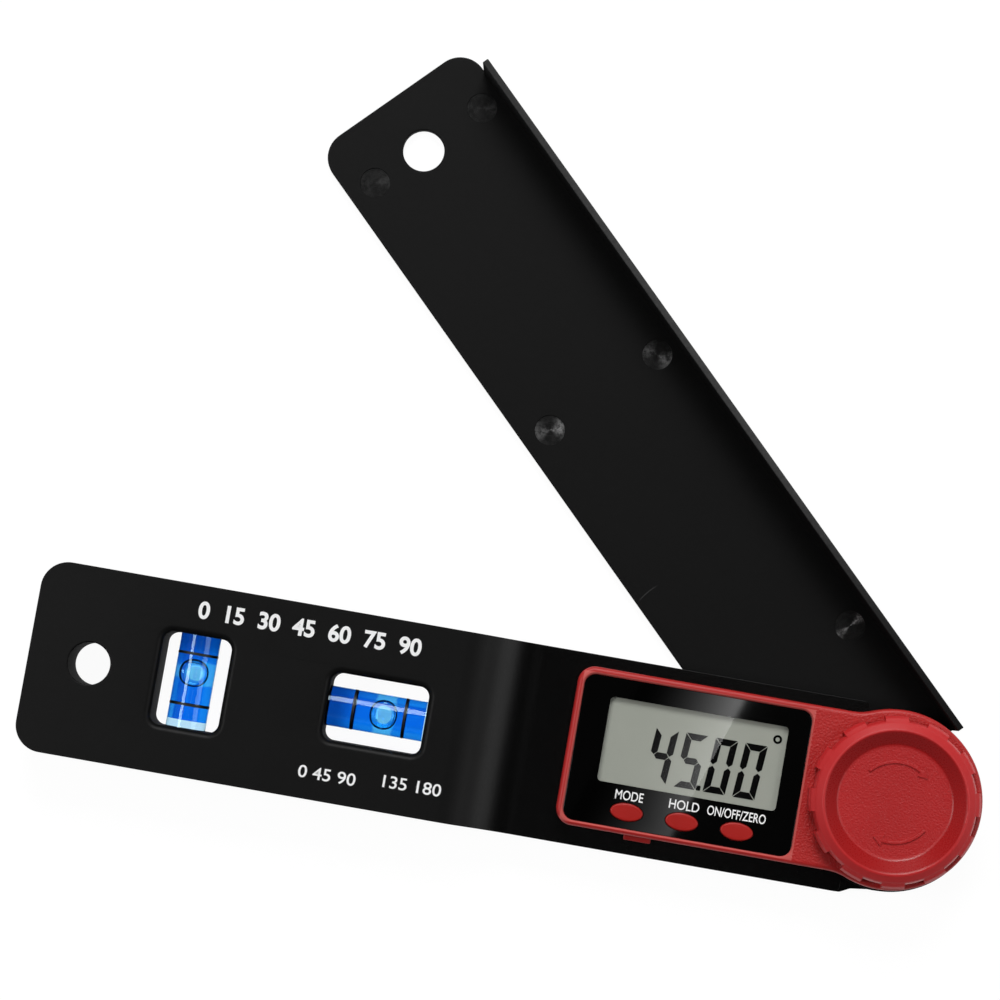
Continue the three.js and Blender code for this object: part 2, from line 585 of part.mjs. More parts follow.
// Display casing: frame of the lens, boss about the pivot and the column that the knob bears on
{
  const c = casing;
  const l = lens;
  const [reachOut, rise] = [c.boss + c.flare, c.halfWidth + c.flare];
  const flareX = -Math.sqrt(reachOut ** 2 - rise ** 2);
  const meet = Math.atan2(rise, flareX);
  const outline = new THREE.Shape();
  outline.moveTo(c.left + c.corner, casingLine - c.halfWidth);
  outline.absarc(flareX, casingLine - rise, c.flare, Math.PI / 2, Math.PI - meet, true);
  outline.absarc(0, casingLine, c.boss, -meet, 0, false);
  outline.absarc(0, casingLine, c.boss, 0, meet, false);
  outline.absarc(flareX, casingLine + rise, c.flare, meet - Math.PI, -Math.PI / 2, true);
  const [turnX, turnY] = [c.left + c.corner, c.halfWidth - c.corner];
  outline.absarc(turnX, casingLine + turnY, c.corner, Math.PI / 2, Math.PI, false);
  outline.absarc(turnX, casingLine - turnY, c.corner, Math.PI, 1.5 * Math.PI, false);
  const body = softPrism(outline, deck, casingTop, c.edge, steps.hole);

  const tab = { offset: 9.4, length: 6.4, out: 0.8, height: 2.2 };
  const tabX = displayX - tab.offset;
  const [tabLeft, tabRight] = [tabX - tab.length / 2, tabX + tab.length / 2];
  const tabOutline = box(tabLeft, casingLine - c.halfWidth - tab.out, tabRight, casingLine);
  const half = c.halfWidth - c.shell;
  const { shelf } = l;
  const room = plate(c.left + c.shell, casingLine - half, l.right, casingLine + half, c.corner - c.shell, shelf);
  const opening = plate(l.left + shelf, l.low + shelf, l.right - shelf, l.high - shelf, l.corner - shelf);
  const seat = plate(l.left - fit, l.low - fit, l.right + fit, l.high + fit, l.corner);
  const bossRoom = ring(pivot.column, c.boss - c.shell, deck - overrun, casingTop - c.shell);
  const shell = cut(join(body, prism(tabOutline, deck, deck + tab.height)),
    prism(room, deck - overrun, lensSeat - shelf), prism(opening, deck - overrun, casingTop),
    prism(seat, lensSeat, casingTop + overrun), bossRoom);
  const holeEnd = deck - wall + panScrew.length + slack;
  const posts = casingScrewPlaces.map(([x, y]) => disc(x, y, c.post, deck, holeEnd + c.floor, steps.small));
  const cuts = [
    ...casingScrewPlaces.map(([x, y]) =>
      disc(x, y, panScrew.shank + fit, deck - overrun, holeEnd, steps.small)),
    disc(0, 0, bore, deck - overrun, casingTop),
    disc(0, 0, knob.stem + 2 * fit, columnFloor, casingTop + overrun, steps.round),
  ];
  piece('display_casing', cut(join(shell, ...posts), ...cuts), redPlastic);
}

// Level vials: clear body with a plug, coloured fluid with its bubble at the top
function addVial(name, window, turn) {
  const group = new THREE.Group();
  group.position.set(window.x, armLine, vialAxis);
  group.rotation.z = turn;
  angleFinder.add(group);
  const half = window.along / 2 + vial.seat;
  const round = (radius) => ellipse(0, 0, radius);
  const body = alongX(round(vial.radius), -half, half, steps.hole);
  const bored = alongX(round(vial.bore), vial.end - half, half + overrun, steps.hole);
  piece(`${name}_vial`, cut(body, bored), clearAcrylic, group);
  const plug = alongX(round(vial.bore - slack), half - vial.end, half, steps.hole);
  piece(`${name}_vial_plug`, plug, clearAcrylic, group);
  const radius = vial.bore - slack;
  const fluid = alongX(round(radius), vial.end - half + slack, half - vial.end - slack, steps.hole);
  const bubble = new THREE.SphereGeometry(vial.bubble, steps.hole, steps.small)
    .scale(1, 1, vial.bubbleDepth / vial.bubble).translate(window.bubble, 0, radius - vial.bubbleDepth / 2);
  piece(`${name}_vial_fluid`, cut(fluid, solid(bubble)), blueFluid, group);
}
addVial('upright', uprightWindow, Math.PI / 2);
addVial('level', levelWindow, 0);

export default angleFinder;
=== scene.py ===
import math

import bmesh
import bpy
from mathutils import Matrix, Vector
from mathutils.geometry import tessellate_polygon


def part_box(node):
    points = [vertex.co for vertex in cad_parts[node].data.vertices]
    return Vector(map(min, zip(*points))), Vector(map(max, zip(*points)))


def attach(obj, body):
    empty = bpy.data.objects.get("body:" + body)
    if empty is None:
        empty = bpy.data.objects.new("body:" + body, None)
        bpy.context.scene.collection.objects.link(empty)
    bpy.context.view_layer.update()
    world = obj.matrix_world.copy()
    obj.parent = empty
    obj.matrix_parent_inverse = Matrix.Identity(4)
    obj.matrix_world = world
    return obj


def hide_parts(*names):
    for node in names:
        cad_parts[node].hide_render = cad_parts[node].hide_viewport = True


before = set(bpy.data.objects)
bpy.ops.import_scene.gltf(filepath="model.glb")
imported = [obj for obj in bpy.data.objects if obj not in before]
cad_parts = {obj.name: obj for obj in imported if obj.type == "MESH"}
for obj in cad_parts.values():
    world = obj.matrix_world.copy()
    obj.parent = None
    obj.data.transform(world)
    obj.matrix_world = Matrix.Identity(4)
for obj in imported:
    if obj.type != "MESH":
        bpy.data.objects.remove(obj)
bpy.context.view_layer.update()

# The camera, where the photographer held it: three quarters of a metre over the tool, almost straight above, with a
# long lens. Its place and turn come from the edges and holes of the tool in the photograph.
tilt = Vector((-3.5229, 0.85986, -0.054146))
heading = math.radians(9.93)
upright_view = Matrix((
    (math.cos(heading), math.sin(heading), 0), (math.sin(heading), -math.cos(heading), 0), (0, 0, -1)))
view_rows = Matrix.Rotation(math.radians(tilt.length), 3, tilt.normalized()) @ upright_view
camera = bpy.data.objects.new("camera", bpy.data.cameras.new("camera"))
camera.data.lens = 113.17
camera.data.clip_start, camera.data.clip_end = 0.05, 20
aim = Matrix((view_rows[0], -view_rows[1], -view_rows[2])).transposed().to_4x4()
camera.matrix_world = Matrix.Translation((-0.08373, 0.01097, 0.75370)) @ aim
bpy.context.scene.collection.objects.link(camera)
bpy.context.scene.camera = camera


# The front arm, one moulding of black plastic with a fine spark texture: a deep block that holds the vials, a ramp
# down to the deck under the display, and the hub. It is hollow from the back, with a rebate for the back cover.
MM = 0.001


def polar(radius, turn, x=0, y=0):
    """The point at a distance from a place, in a direction in degrees."""
    return x + radius * math.cos(math.radians(turn)), y + radius * math.sin(math.radians(turn))


def arc(x, y, radius, start, end, step=6):
    """Points of an arc in mm, between two directions in degrees."""
    count = max(1, round(abs(end - start) / step))
    return [polar(radius, start + (end - start) * i / count, x, y) for i in range(count + 1)]


def circle(x, y, radius, count=72):
    return arc(x, y, radius, 0, 360, 360 / count)[:-1]


def plate(x0, y0, x1, y1, left, right=None):
    """A rectangle in mm with its corners rounded, the left ones and the right ones."""
    right = left if right is None else right
    corners = ((x0 + left, y0 + left, left, 180), (x1 - right, y0 + right, right, 270),
               (x1 - right, y1 - right, right, 0), (x0 + left, y1 - left, left, 90))
    return [p for x, y, r, start in corners for p in (arc(x, y, r, start, start + 90) if r else [(x, y)])]


def centred(x, y, length, width, corner):
    return plate(x - length / 2, y - width / 2, x + length / 2, y + width / 2, corner)


def around(low, high, grow, corner):
    """A rounded rectangle about a box, grown by so many mm on all sides."""
    return plate(low.x - grow, low.y - grow, high.x + grow, high.y + grow, corner)


def eased(points, radius, closed=True, steps=3):
    """A line of points in mm with its corners rounded, each by no more than its sides allow. Where radius is a list, it
    gives the rounding of each."""
    count, out = len(points), []
    for i, p in enumerate(points):
        r = radius[i] if isinstance(radius, (list, tuple)) else radius
        if r == 0 or (not closed and i in (0, count - 1)):
            out.append(tuple(p))
            continue
        here = Vector(p)
        back, on = Vector(points[i - 1]) - here, Vector(points[(i + 1) % count]) - here
        half = back.angle(on) / 2
        run = min(r / math.tan(half), 0.45 * back.length, 0.45 * on.length)
        a, b = here + back.normalized() * run, here + on.normalized() * run
        for k in range(steps + 1):
            t = k / steps
            out.append(tuple((1 - t) ** 2 * a + 2 * t * (1 - t) * here + t * t * b))
    return out


def tidy(points):
    """A closed line without repeated points, turned to run anticlockwise."""
    kept = [Vector(p) for i, p in enumerate(points) if (Vector(p) - Vector(points[i - 1])).length > 1e-4]
    turn = sum(a.x * b.y - b.x * a.y for a, b in zip(kept, kept[1:] + kept[:1]))
    return kept if turn > 0 else kept[::-1]


def drawn_in(points, inset):
    """An anticlockwise line moved inwards by an inset, or outwards by a negative one."""
    out = []
    for i, p in enumerate(points):
        before, after = (p - points[i - 1]).normalized(), (points[(i + 1) % len(points)] - p).normalized()
        side = Vector((before.y + after.y, -before.x - after.x))
        side = side.normalized() if side.length > 1e-6 else Vector((before.y, -before.x))
        out.append(p - side * inset / max(0.4, side.dot(Vector((before.y, -before.x)))))
    return out


def as_piece(name, mesh):
    """Makes an object of a mesh that was built in mm."""
    bmesh.ops.scale(mesh, vec=(MM, MM, MM), verts=mesh.verts)
    bmesh.ops.recalc_face_normals(mesh, faces=mesh.faces)
    data = bpy.data.meshes.new(name)
    mesh.to_mesh(data)
    mesh.free()
    made = bpy.data.objects.new(name, data)
    bpy.context.scene.collection.objects.link(made)
    return made


def moulding(name, outline, low, high, holes=(), top=0.3, bottom=0.2, rim=0.25, steps=3):
    """A plate between two levels, with rounded edges outside and at the rims of its holes. Where rim is a list, it
    gives the rounding of each hole at the top."""
    mesh = bmesh.new()
    rims = rim if isinstance(rim, list) else [rim] * len(holes)
    lines = [(tidy(outline), top, bottom, 1)]
    lines += [(tidy(hole), upper, min(upper, 0.35), -1) for hole, upper in zip(holes, rims)]
    lids = [[], []]
    for points, upper, lower, side in lines:
        quarter = [math.pi / 2 * k / steps for k in range(steps + 1)]
        foot = [(lower * (1 - math.sin(a)), low + lower * (1 - math.cos(a))) for a in quarter]
        head = [(upper * (1 - math.cos(a)), high - upper * (1 - math.sin(a))) for a in quarter]
        profile = (foot if lower else foot[:1]) + (head if upper else head[:1])
        rings = [[mesh.verts.new((p.x, p.y, level)) for p in drawn_in(points, side * inset)]
                 for inset, level in profile]
        for below, above in zip(rings, rings[1:]):
            for i in range(len(points)):
                j = (i + 1) % len(points)
                mesh.faces.new((below[i], below[j], above[j], above[i]))
        lids[0].append(rings[0])
        lids[1].append(rings[-1])
    for rings in lids:
        verts = [v for ring in rings for v in ring]
        for corners in tessellate_polygon([[v.co for v in ring] for ring in rings]):
            mesh.faces.new([verts[i] for i in corners])
    return as_piece(name, mesh)


def sharp_plate(name, outline, low, high):
    return moulding(name, outline, low, high, (), 0, 0, 0)


def turned(name, profile, x=0, y=0, count=96, ring=False):
    """A piece turned about an upright axis, from (radius, level) points in mm."""
    mesh = bmesh.new()
    rows = []
    for radius, level in profile:
        spots = [(x, y)] if radius < 1e-6 else circle(x, y, radius, count)
        rows.append([mesh.verts.new((*p, level)) for p in spots])
    for below, above in zip(rows, rows[1:] + rows[:1] if ring else rows[1:]):
        for k in range(count):
            corners = (below[k % len(below)], below[(k + 1) % len(below)],
                       above[(k + 1) % len(above)], above[k % len(above)])
            corners = list(dict.fromkeys(corners))
            if len(corners) > 2:
                mesh.faces.new(corners)
    return as_piece(name, mesh)


def barrel(name, inner, outer, low, high, x=0, y=0, count=96):
    """A cylinder between two levels in mm, or a tube where it has an inner radius."""
    profile = [(inner, low), (outer, low), (outer, high), (inner, high)]
    return turned(name, profile, x, y, count, ring=inner > 0)


def carve(piece, *tools, how="DIFFERENCE"):
    """Cuts tools out of a piece, or joins them to it, and clears them away."""
    for tool in tools:
        step = piece.modifiers.new("carve", "BOOLEAN")
        step.operation, step.object, step.solver = how, tool, "EXACT"
    bpy.context.view_layer.update()
    shaped = bpy.data.meshes.new_from_object(piece.evaluated_get(bpy.context.evaluated_depsgraph_get()))
    piece.modifiers.clear()
    piece.data = shaped
    for tool in tools:
        bpy.data.objects.remove(tool)
    return piece


def coat(piece, finish):
    """Gives a piece one finish all over."""
    piece.data.materials.clear()
    piece.data.materials.append(finish)


def dress(piece, finish, body, *nodes, slot=None, sharp=38):
    """Smooths a piece, gives it its finish, and lets it stand for its CAD nodes on their body. Edges that turn by more
    than sharp degrees stay crisp."""
    coat(piece, finish)
    piece.data.polygons.foreach_set("use_smooth", [True] * len(piece.data.polygons))
    piece.data.set_sharp_from_angle(angle=math.radians(sharp))
    even = piece.modifiers.new("flat_faces_stay_flat", "WEIGHTED_NORMAL")
    even.keep_sharp = True
    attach(piece, body)
    if nodes:
        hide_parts(*nodes)


def box_mm(node):
    """Lowest and highest corner of a CAD node, in mm."""
    return [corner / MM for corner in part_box(node)]


def middle_of(node):
    """The middle of a CAD node from above, in mm."""
    low, high = box_mm(node)
    return (low.x + high.x) / 2, (low.y + high.y) / 2


class Socket:
    """A shader socket that can stand in a sum, so that shader maths reads as plain expressions."""

    def __init__(self, finish, socket):
        self.finish, self.socket = finish, socket

    def maths(self, operation, *terms):
        return self.finish.node("ShaderNodeMath", {"operation": operation}, dict(enumerate(terms)))

    def __add__(self, other):
        return self.maths("ADD", self, other)

    def __sub__(self, other):
        return self.maths("SUBTRACT", self, other)

    def __rsub__(self, other):
        return self.maths("SUBTRACT", other, self)

    def __mul__(self, other):
        return self.maths("MULTIPLY", self, other)

    def __truediv__(self, other):
        return self.maths("DIVIDE", self, other)

    def __pow__(self, other):
        return self.maths("POWER", self, other)

    def __abs__(self):
        return self.maths("ABSOLUTE", self)

    __radd__, __rmul__ = __add__, __mul__


class Finish:
    """One material under construction, or the light from all round."""

    def __init__(self, name, kind="Material", coordinates="Object"):
        self.kind = kind
        self.made = {"Material": bpy.data.materials, "World": bpy.data.worlds}[kind].new(name)
        self.made.use_nodes = True
        self.tree = self.made.node_tree
        self.tree.nodes.clear()
        self.place = self.node("ShaderNodeTexCoord", {}, {}, coordinates)

    def node(self, kind, settings, inputs, output=0):
        """A node of any kind: its settings are set first, then its sockets get values or links."""
        made = self.tree.nodes.new(kind)
        for name, value in settings.items():
            setattr(made, name, value)
        for name, value in inputs.items():
            if isinstance(value, Socket):
                self.tree.links.new(value.socket, made.inputs[name])
            else:
                made.inputs[name].default_value = value
        return Socket(self, made.outputs[output])

    def vector(self, operation, *terms):
        """Vector maths. A length or a dot product comes out as a number."""
        output = "Value" if operation in ("LENGTH", "DOT_PRODUCT") else 0
        return self.node("ShaderNodeVectorMath", {"operation": operation}, dict(enumerate(terms)), output)

    def noise(self, size, detail=2.0, rough=0.5, place=None):
        """Even noise about 0.5, with patches of a size in mm."""
        return self.node("ShaderNodeTexNoise", {}, {
            "Vector": place or self.place, "Scale": 1 / (size * MM), "Detail": detail, "Roughness": rough})

    def part(self, axis):
        """One coordinate of the place, in mm."""
        return self.node("ShaderNodeSeparateXYZ", {}, {"Vector": self.place}, axis) * (1 / MM)

    def from_spot(self, x, y):
        """The level way to the place from a spot in mm."""
        return self.vector("MULTIPLY_ADD", self.place, (1 / MM, 1 / MM, 0), (-x, -y, 0))

    def step(self, value, start, end):
        """Goes from 0 to 1 as a value goes from start to end."""
        return self.node("ShaderNodeMapRange", {"interpolation_type": "SMOOTHSTEP"},
                         {"Value": value, "From Min": start, "From Max": end})

    def blend(self, factor, first, second):
        """A colour between two colours."""
        return self.node("ShaderNodeMix", {"data_type": "RGBA"}, {0: factor, 6: first, 7: second}, 2)

    def upward(self):
        """How far a face looks up: 1 on a top, 0 on a wall."""
        normal = self.node("ShaderNodeNewGeometry", {}, {}, "Normal")
        return self.node("ShaderNodeSeparateXYZ", {}, {"Vector": normal}, "Z")

    def edge(self, width):
        """Goes to 1 where an edge is within a width in mm."""
        soft = self.node("ShaderNodeBevel", {"samples": 4}, {"Radius": width * MM})
        flat = self.node("ShaderNodeNewGeometry", {}, {}, "Normal")
        return self.step(self.vector("DOT_PRODUCT", soft, flat), 0.995, 0.86)

    def relief(self, height, depth):
        """A normal for a height between 0 and 1 that stands for a depth in mm."""
        return self.node("ShaderNodeBump", {}, {"Height": height, "Distance": depth * MM, "Strength": 1.0})

    def surface(self, **sockets):
        """Ends the material in one Principled shader. Underscores stand for spaces."""
        shader = self.node("ShaderNodeBsdfPrincipled", {}, {k.replace("_", " "): v for k, v in sockets.items()})
        return self.end(shader)

    def end(self, shader):
        out = self.tree.nodes.new(f"ShaderNodeOutput{self.kind}")
        self.tree.links.new(shader.socket, out.inputs["Surface"])
        return self.made


def grey(level):
    return (level, level, level, 1)


def black_plastic(name, level, roughness, grain, grain_depth, polish_and_shade=None):
    """Black plastic with the texture of its mould: fine grain, faint flow marks, duller walls that are also painted
    darker as shade, and edges rubbed a little paler. Within a mask the mould is smoother and the plastic is painted
    darker as shade."""
    finish = Finish(name)
    fine = finish.noise(grain, 3, 0.6)
    broad = finish.noise(26, 3)
    rubbed = finish.edge(0.3) * finish.step(finish.noise(1.6, 4, 0.7), 0.4, 0.75)
    wall = finish.step(abs(finish.upward()), 0.85, 0.6)
    colour = finish.blend(broad, grey(level * 0.85), grey(level * 1.15))
    colour = finish.blend(rubbed, colour, grey(level * 1.4))
    # Painted shade: walls are made darker than tops.
    colour = finish.blend(wall, colour, grey(level * 0.3))
    rough = roughness + (fine - 0.5) * 0.16 + (broad - 0.5) * 0.1 - rubbed * 0.08 + wall * 0.4
    if polish_and_shade:
        polished_and_shaded = polish_and_shade(finish)
        # Painted shade: the plastic is made darker within the mask, where the mould is smoother.
        colour = finish.blend(polished_and_shaded, colour, grey(level * 0.45))
        rough = rough - polished_and_shaded * 0.22
    return finish.surface(Base_Color=colour, Roughness=rough, Specular_IOR_Level=0.15,
                          Normal=finish.relief(fine, grain_depth))


arm_low, arm_high = box_mm("front_arm")
deck = box_mm("display_casing")[0].z
arm_line = (arm_low.y + arm_high.y) / 2
arm_back, arm_face, arm_wall, cover_seat = arm_low.z, arm_high.z, 2.0, arm_low.z + 1.4
upright_low, upright_high = box_mm("upright_vial")
level_low, level_high = box_mm("level_vial")
vial_radius = (upright_high.x - upright_low.x) / 2
vial_level = upright_high.z - vial_radius
upright_x, level_x = middle_of("upright_vial")[0], middle_of("level_vial")[0]
hanging_x = arm_low.x + 14.498
ramp_start, ramp_shoulder, ramp_foot, ramp_slope = -104.502, 12.0, 22.0, math.radians(30)
ramp_run = (ramp_shoulder + ramp_foot) * math.sin(ramp_slope) + (
    arm_face - deck - (ramp_shoulder + ramp_foot) * (1 - math.cos(ramp_slope))) / math.tan(ramp_slope)
ramp_end = ramp_start + ramp_run
near_end = -8.4
hub_radius = 21.3


def ramp_fall(x, depth):
    """How far the roof, or one that lies so deep under it, has dropped at x: a convex arc, a straight and a concave
    arc."""
    shoulder, foot = ramp_shoulder - depth, ramp_foot + depth
    on, left = x - ramp_start, ramp_end - x
    if on <= 0 or left <= 0:
        return 0 if on <= 0 else arm_face - deck
    if on < shoulder * math.sin(ramp_slope):
        return shoulder - math.sqrt(shoulder ** 2 - on ** 2)
    if left < foot * math.sin(ramp_slope):
        return arm_face - deck - foot + math.sqrt(foot ** 2 - left ** 2)
    return shoulder * (1 - math.cos(ramp_slope)) + (on - shoulder * math.sin(ramp_slope)) * math.tan(ramp_slope)


def ramped(piece, depth=0.0):
    """Cuts a slab across the ramp many times and lets its top down to the ramp."""
    mesh = bmesh.new()
    mesh.from_mesh(piece.data)
    cuts = 32
    for i in range(cuts + 1):
        x = (ramp_start + ramp_run * i / cuts) * MM
        bmesh.ops.bisect_plane(mesh, geom=mesh.verts[:] + mesh.edges[:] + mesh.faces[:],
                               plane_co=(x, 0, 0), plane_no=(1, 0, 0), dist=1e-7)
    top = max(v.co.z for v in mesh.verts)
    for v in mesh.verts:
        if v.co.z > top - 1.0 * MM:
            v.co.z -= ramp_fall(v.co.x / MM, depth) * MM
    mesh.to_mesh(piece.data)
    mesh.free()
    return piece


def arm_outline(inset=0.0, end=0.0):
    """The arm's outline, or that of its hollow, which lies inside and ends earlier."""
    return plate(arm_low.x + inset, arm_low.y + inset, near_end - end, arm_high.y - (inset or -0.2),
                 6.5 - inset, 0 if inset else 1.2)


def window_outlines(grow=0.0):
    """The windows that show the vials."""
    return [centred(upright_x, arm_line - 0.2, 16.294 + 2 * grow, 22.2 + 2 * grow, 2.5 + grow),
            centred(level_x, arm_line, 23.402 + 2 * grow, 16.1 + 2 * grow, 2.4 + grow)]


def lying(piece, x, along_y):
    """Lays an upright piece down, with its axis along X or Y through the vial's place."""
    turn = Matrix.Rotation(-math.pi / 2, 4, "X") if along_y else Matrix.Rotation(math.pi / 2, 4, "Y")
    piece.data.transform(Matrix.Translation((x * MM, arm_line * MM, vial_level * MM)) @ turn)
    return piece


hanging_hole, hub_outline = circle(hanging_x, arm_line, 5.0), circle(0, 0, hub_radius, 120)
front_arm = ramped(moulding("front_arm_moulding", arm_outline(), arm_back, arm_face,
                            [*window_outlines(), hanging_hole], top=0.15, rim=[1.5, 1.5, 0.35], steps=5))
ledge_line = eased([(near_end - 1.2, arm_low.y + 0.02), (near_end + 0.1, arm_low.y + 0.02), (-5.9, arm_low.y + 1.25),
                    (-1.0, arm_low.y + 1.9), (-1.0, 0), (near_end - 1.2, 0)], [0, 1.6, 1.2, 0, 0, 0])
ledge = moulding("ledge", ledge_line, arm_back, deck - 0.3, bottom=0.15)
hub = moulding("hub", hub_outline, arm_back, deck, top=0.25, bottom=0.15)
carve(front_arm, hub, ledge, how="UNION")
hollow = ramped(moulding("hollow", arm_outline(arm_wall, arm_wall), arm_back - 1, arm_face - arm_wall,
                         [*window_outlines(arm_wall), circle(hanging_x, arm_line, 7.0)], 0, 0, 0), arm_wall)
rebate = sharp_plate("rebate", arm_outline(1.2, arm_wall), arm_back - 1, cover_seat)
for tool in (hollow, rebate):
    carve(tool, sharp_plate("pivot_wall", hub_outline, arm_back - 2, arm_face))
upright_half, level_half = (upright_high.y - upright_low.y) / 2, (level_high.x - level_low.x) / 2
seats = [lying(barrel("seat", 0, vial_radius + 0.1, -half - 0.1, half + 0.1), x, along_y)
         for x, half, along_y in ((upright_x, upright_half, True), (level_x, level_half, False))]
cavity = barrel("cavity", 0, 19.2, arm_back - 1, deck - 3)
bolt_bore = 3.08
bore = barrel("bore", 0, bolt_bore, arm_back - 1, deck + 1)
board_low, board_high = box_mm("main_board")
board_recess = sharp_plate("recess", around(board_low, board_high, 0.3, 1.3), board_low.z - 0.02, deck + 1)
board_way = sharp_plate("way", around(board_low, board_high, -1.8, 0.5), arm_back - 1, deck + 0.5)
carve(front_arm, hollow, rebate, *seats, cavity, bore, board_recess, board_way)


def past_ramp(finish):
    """1 on the ramp and the deck, where the mould has no spark texture and the plastic is painted darker as shade."""
    return finish.step(finish.part("X"), ramp_start + 3, ramp_start + 11)


arm_plastic = black_plastic("front_arm_plastic", 0.0032, 0.46, 0.22, 0.012, past_ramp)
dress(front_arm, arm_plastic, "arm", "front_arm", slot="arm_plastic")


# Numbers printed on the front arm in white ink: a row of angles above the vials and two shorter ones below them.
# The ink is a thin, slightly uneven film.
ink = Finish("white_ink")
coverage = ink.noise(0.5, 3, 0.7)
white_ink = ink.surface(Base_Color=ink.blend(coverage, grey(0.86), grey(0.95)), Roughness=0.42 + coverage * 0.2,
                        Normal=ink.relief(coverage, 0.008))
capital_share = 0.69


def printed(name, words, x, y, level, height, width, weight):
    """Words printed flat about a place in mm, as high and as wide as given. A capital has its share of the letters'
    full size, and the weight makes the strokes bolder."""
    text = bpy.data.curves.new(name, "FONT")
    text.body, text.size, text.align_x, text.align_y = words, height * MM / capital_share, "CENTER", "CENTER"
    text.extrude, text.offset, text.resolution_u = 0.00001, weight * MM, 8
    label = bpy.data.objects.new(name, text)
    bpy.context.scene.collection.objects.link(label)
    bpy.context.view_layer.update()
    made = bpy.data.objects.new(name, bpy.data.meshes.new_from_object(
        label.evaluated_get(bpy.context.evaluated_depsgraph_get())))
    bpy.data.objects.remove(label)
    bpy.context.scene.collection.objects.link(made)
    made.name = name
    spread = [v.co.x for v in made.data.vertices]
    squeeze = width * MM / (max(spread) - min(spread))
    made.data.transform(
        Matrix.Translation((x * MM, y * MM, (level + 0.012) * MM)) @ Matrix.Diagonal((squeeze, 1, 1, 1)))
    coat(made, white_ink)
    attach(made, "arm")


printed("printed_angles", "0  15  30  45  60  75  90", -141.2, 16.1, arm_face, 3.8, 53.2, 0.16)
printed("printed_angles_low", "0 45 90", -131.3, -16.9, arm_face, 2.8, 13.6, 0.04)
printed("printed_angles_high", "135 180", -111.6, -15.9, arm_face, 2.8, 13.8, 0.04)


# The vials: clear acrylic bodies with a blue liquid, an air bubble and two black lines round each. The liquid ends
# short of the end that was plugged. They lie across and along the arm, their ends in its walls.
def ray_is(finish, *kinds):
    """1 for rays of any of some kinds."""
    either, *others = [finish.node("ShaderNodeLightPath", {}, {}, f"Is {kind} Ray") for kind in kinds]
    for other in others:
        either = either.maths("MAXIMUM", either, other)
    return either


def see_through(finish, shader, colour):
    """Ends a clear finish. The lamps and the soft light pass straight through it to what lies in it."""
    open_way = finish.node("ShaderNodeBsdfTransparent", {}, {"Color": colour})
    return finish.end(finish.node("ShaderNodeMixShader", {}, {
        0: ray_is(finish, "Shadow", "Diffuse"), 1: shader, 2: open_way}))


def clear(name, ior, colour=(1, 1, 1, 1), roughness=0.0):
    """Clear acrylic or air."""
    finish = Finish(name)
    glass = finish.node("ShaderNodeBsdfGlass", {}, {"Color": colour, "IOR": ior, "Roughness": roughness})
    return see_through(finish, glass, (*(c ** 0.5 for c in colour[:3]), 1))


def blue_liquid(name, x, along_y, bubble_spot, sign):
    """The blue liquid of one vial, with light and shade painted into its colour: a deeper blue band along it painted as
    shade, one side painted brighter as light, one end painted darker as shadow, pale streaks and edges painted as
    light, and paler at its bubble. The sign says which end has the painted shadow and which side the painted light."""
    finish = Finish(name)
    from_x, from_y = finish.part("X") - x, finish.part("Y") - arm_line
    across, along = (from_x, from_y) if along_y else (from_y, from_x)
    across, along = across / liquid_radius, along / 10
    drawn = finish.vector("MULTIPLY", finish.place, (1, 0.08, 1) if along_y else (0.08, 1, 1))
    streaks = finish.noise(0.8, 3, 0.65, drawn)
    narrow = (1.5, 1) if along_y else (1, 1.5)
    distance = finish.vector("LENGTH", finish.vector("MULTIPLY", finish.from_spot(*bubble_spot), (*narrow, 0)))
    # Painted shade: a deeper blue band off the axis.
    deep = finish.step(abs(across) + (streaks - 0.5) * 0.6, 0.22, 0.5)
    colour = finish.blend(deep, (0.004, 0.19, 0.86, 1), (0.004, 0.12, 0.62, 1))
    # Painted light: one side brighter.
    colour = finish.blend(finish.step(across * sign, 0.28, 0.6), colour, (0.004, 0.30, 0.95, 1))
    # Painted shadow: one end darker.
    colour = finish.blend(finish.step(along * sign, 0.3, 1.0) * 0.8, colour, (0.002, 0.045, 0.26, 1))
    # Painted light: pale streaks and bright edges, but not at the shadowed end.
    light = finish.step(streaks, 0.56, 0.7) * 0.45 + finish.step(abs(across), 0.7, 0.8) * 0.8
    light = light * finish.step(along * -sign, -1.1, 0.7)
    colour = finish.blend(light, colour, (0.08, 0.52, 0.98, 1))
    colour = finish.blend(finish.step(distance, 3.25, 2.7) * (streaks * 0.9 + 0.3), colour, (0.36, 0.82, 1.0, 1))
    inside = finish.node("ShaderNodeBsdfPrincipled", {}, {
        "Base Color": colour, "Roughness": 0.0, "IOR": 1.0, "Transmission Weight": 1.0})
    return see_through(finish, inside, (0.12, 0.45, 0.9, 1))


liquid_radius, acrylic_ior = 3.9, 1.49
acrylic = clear("clear_acrylic", acrylic_ior, (0.72, 0.90, 1.0, 1), 0.05)
air = clear("air_bubble", 1 / acrylic_ior)
line = Finish("vial_line_ink")
vial_line_ink = line.surface(Base_Color=grey(0.003), Roughness=0.4 + line.noise(0.4) * 0.15)


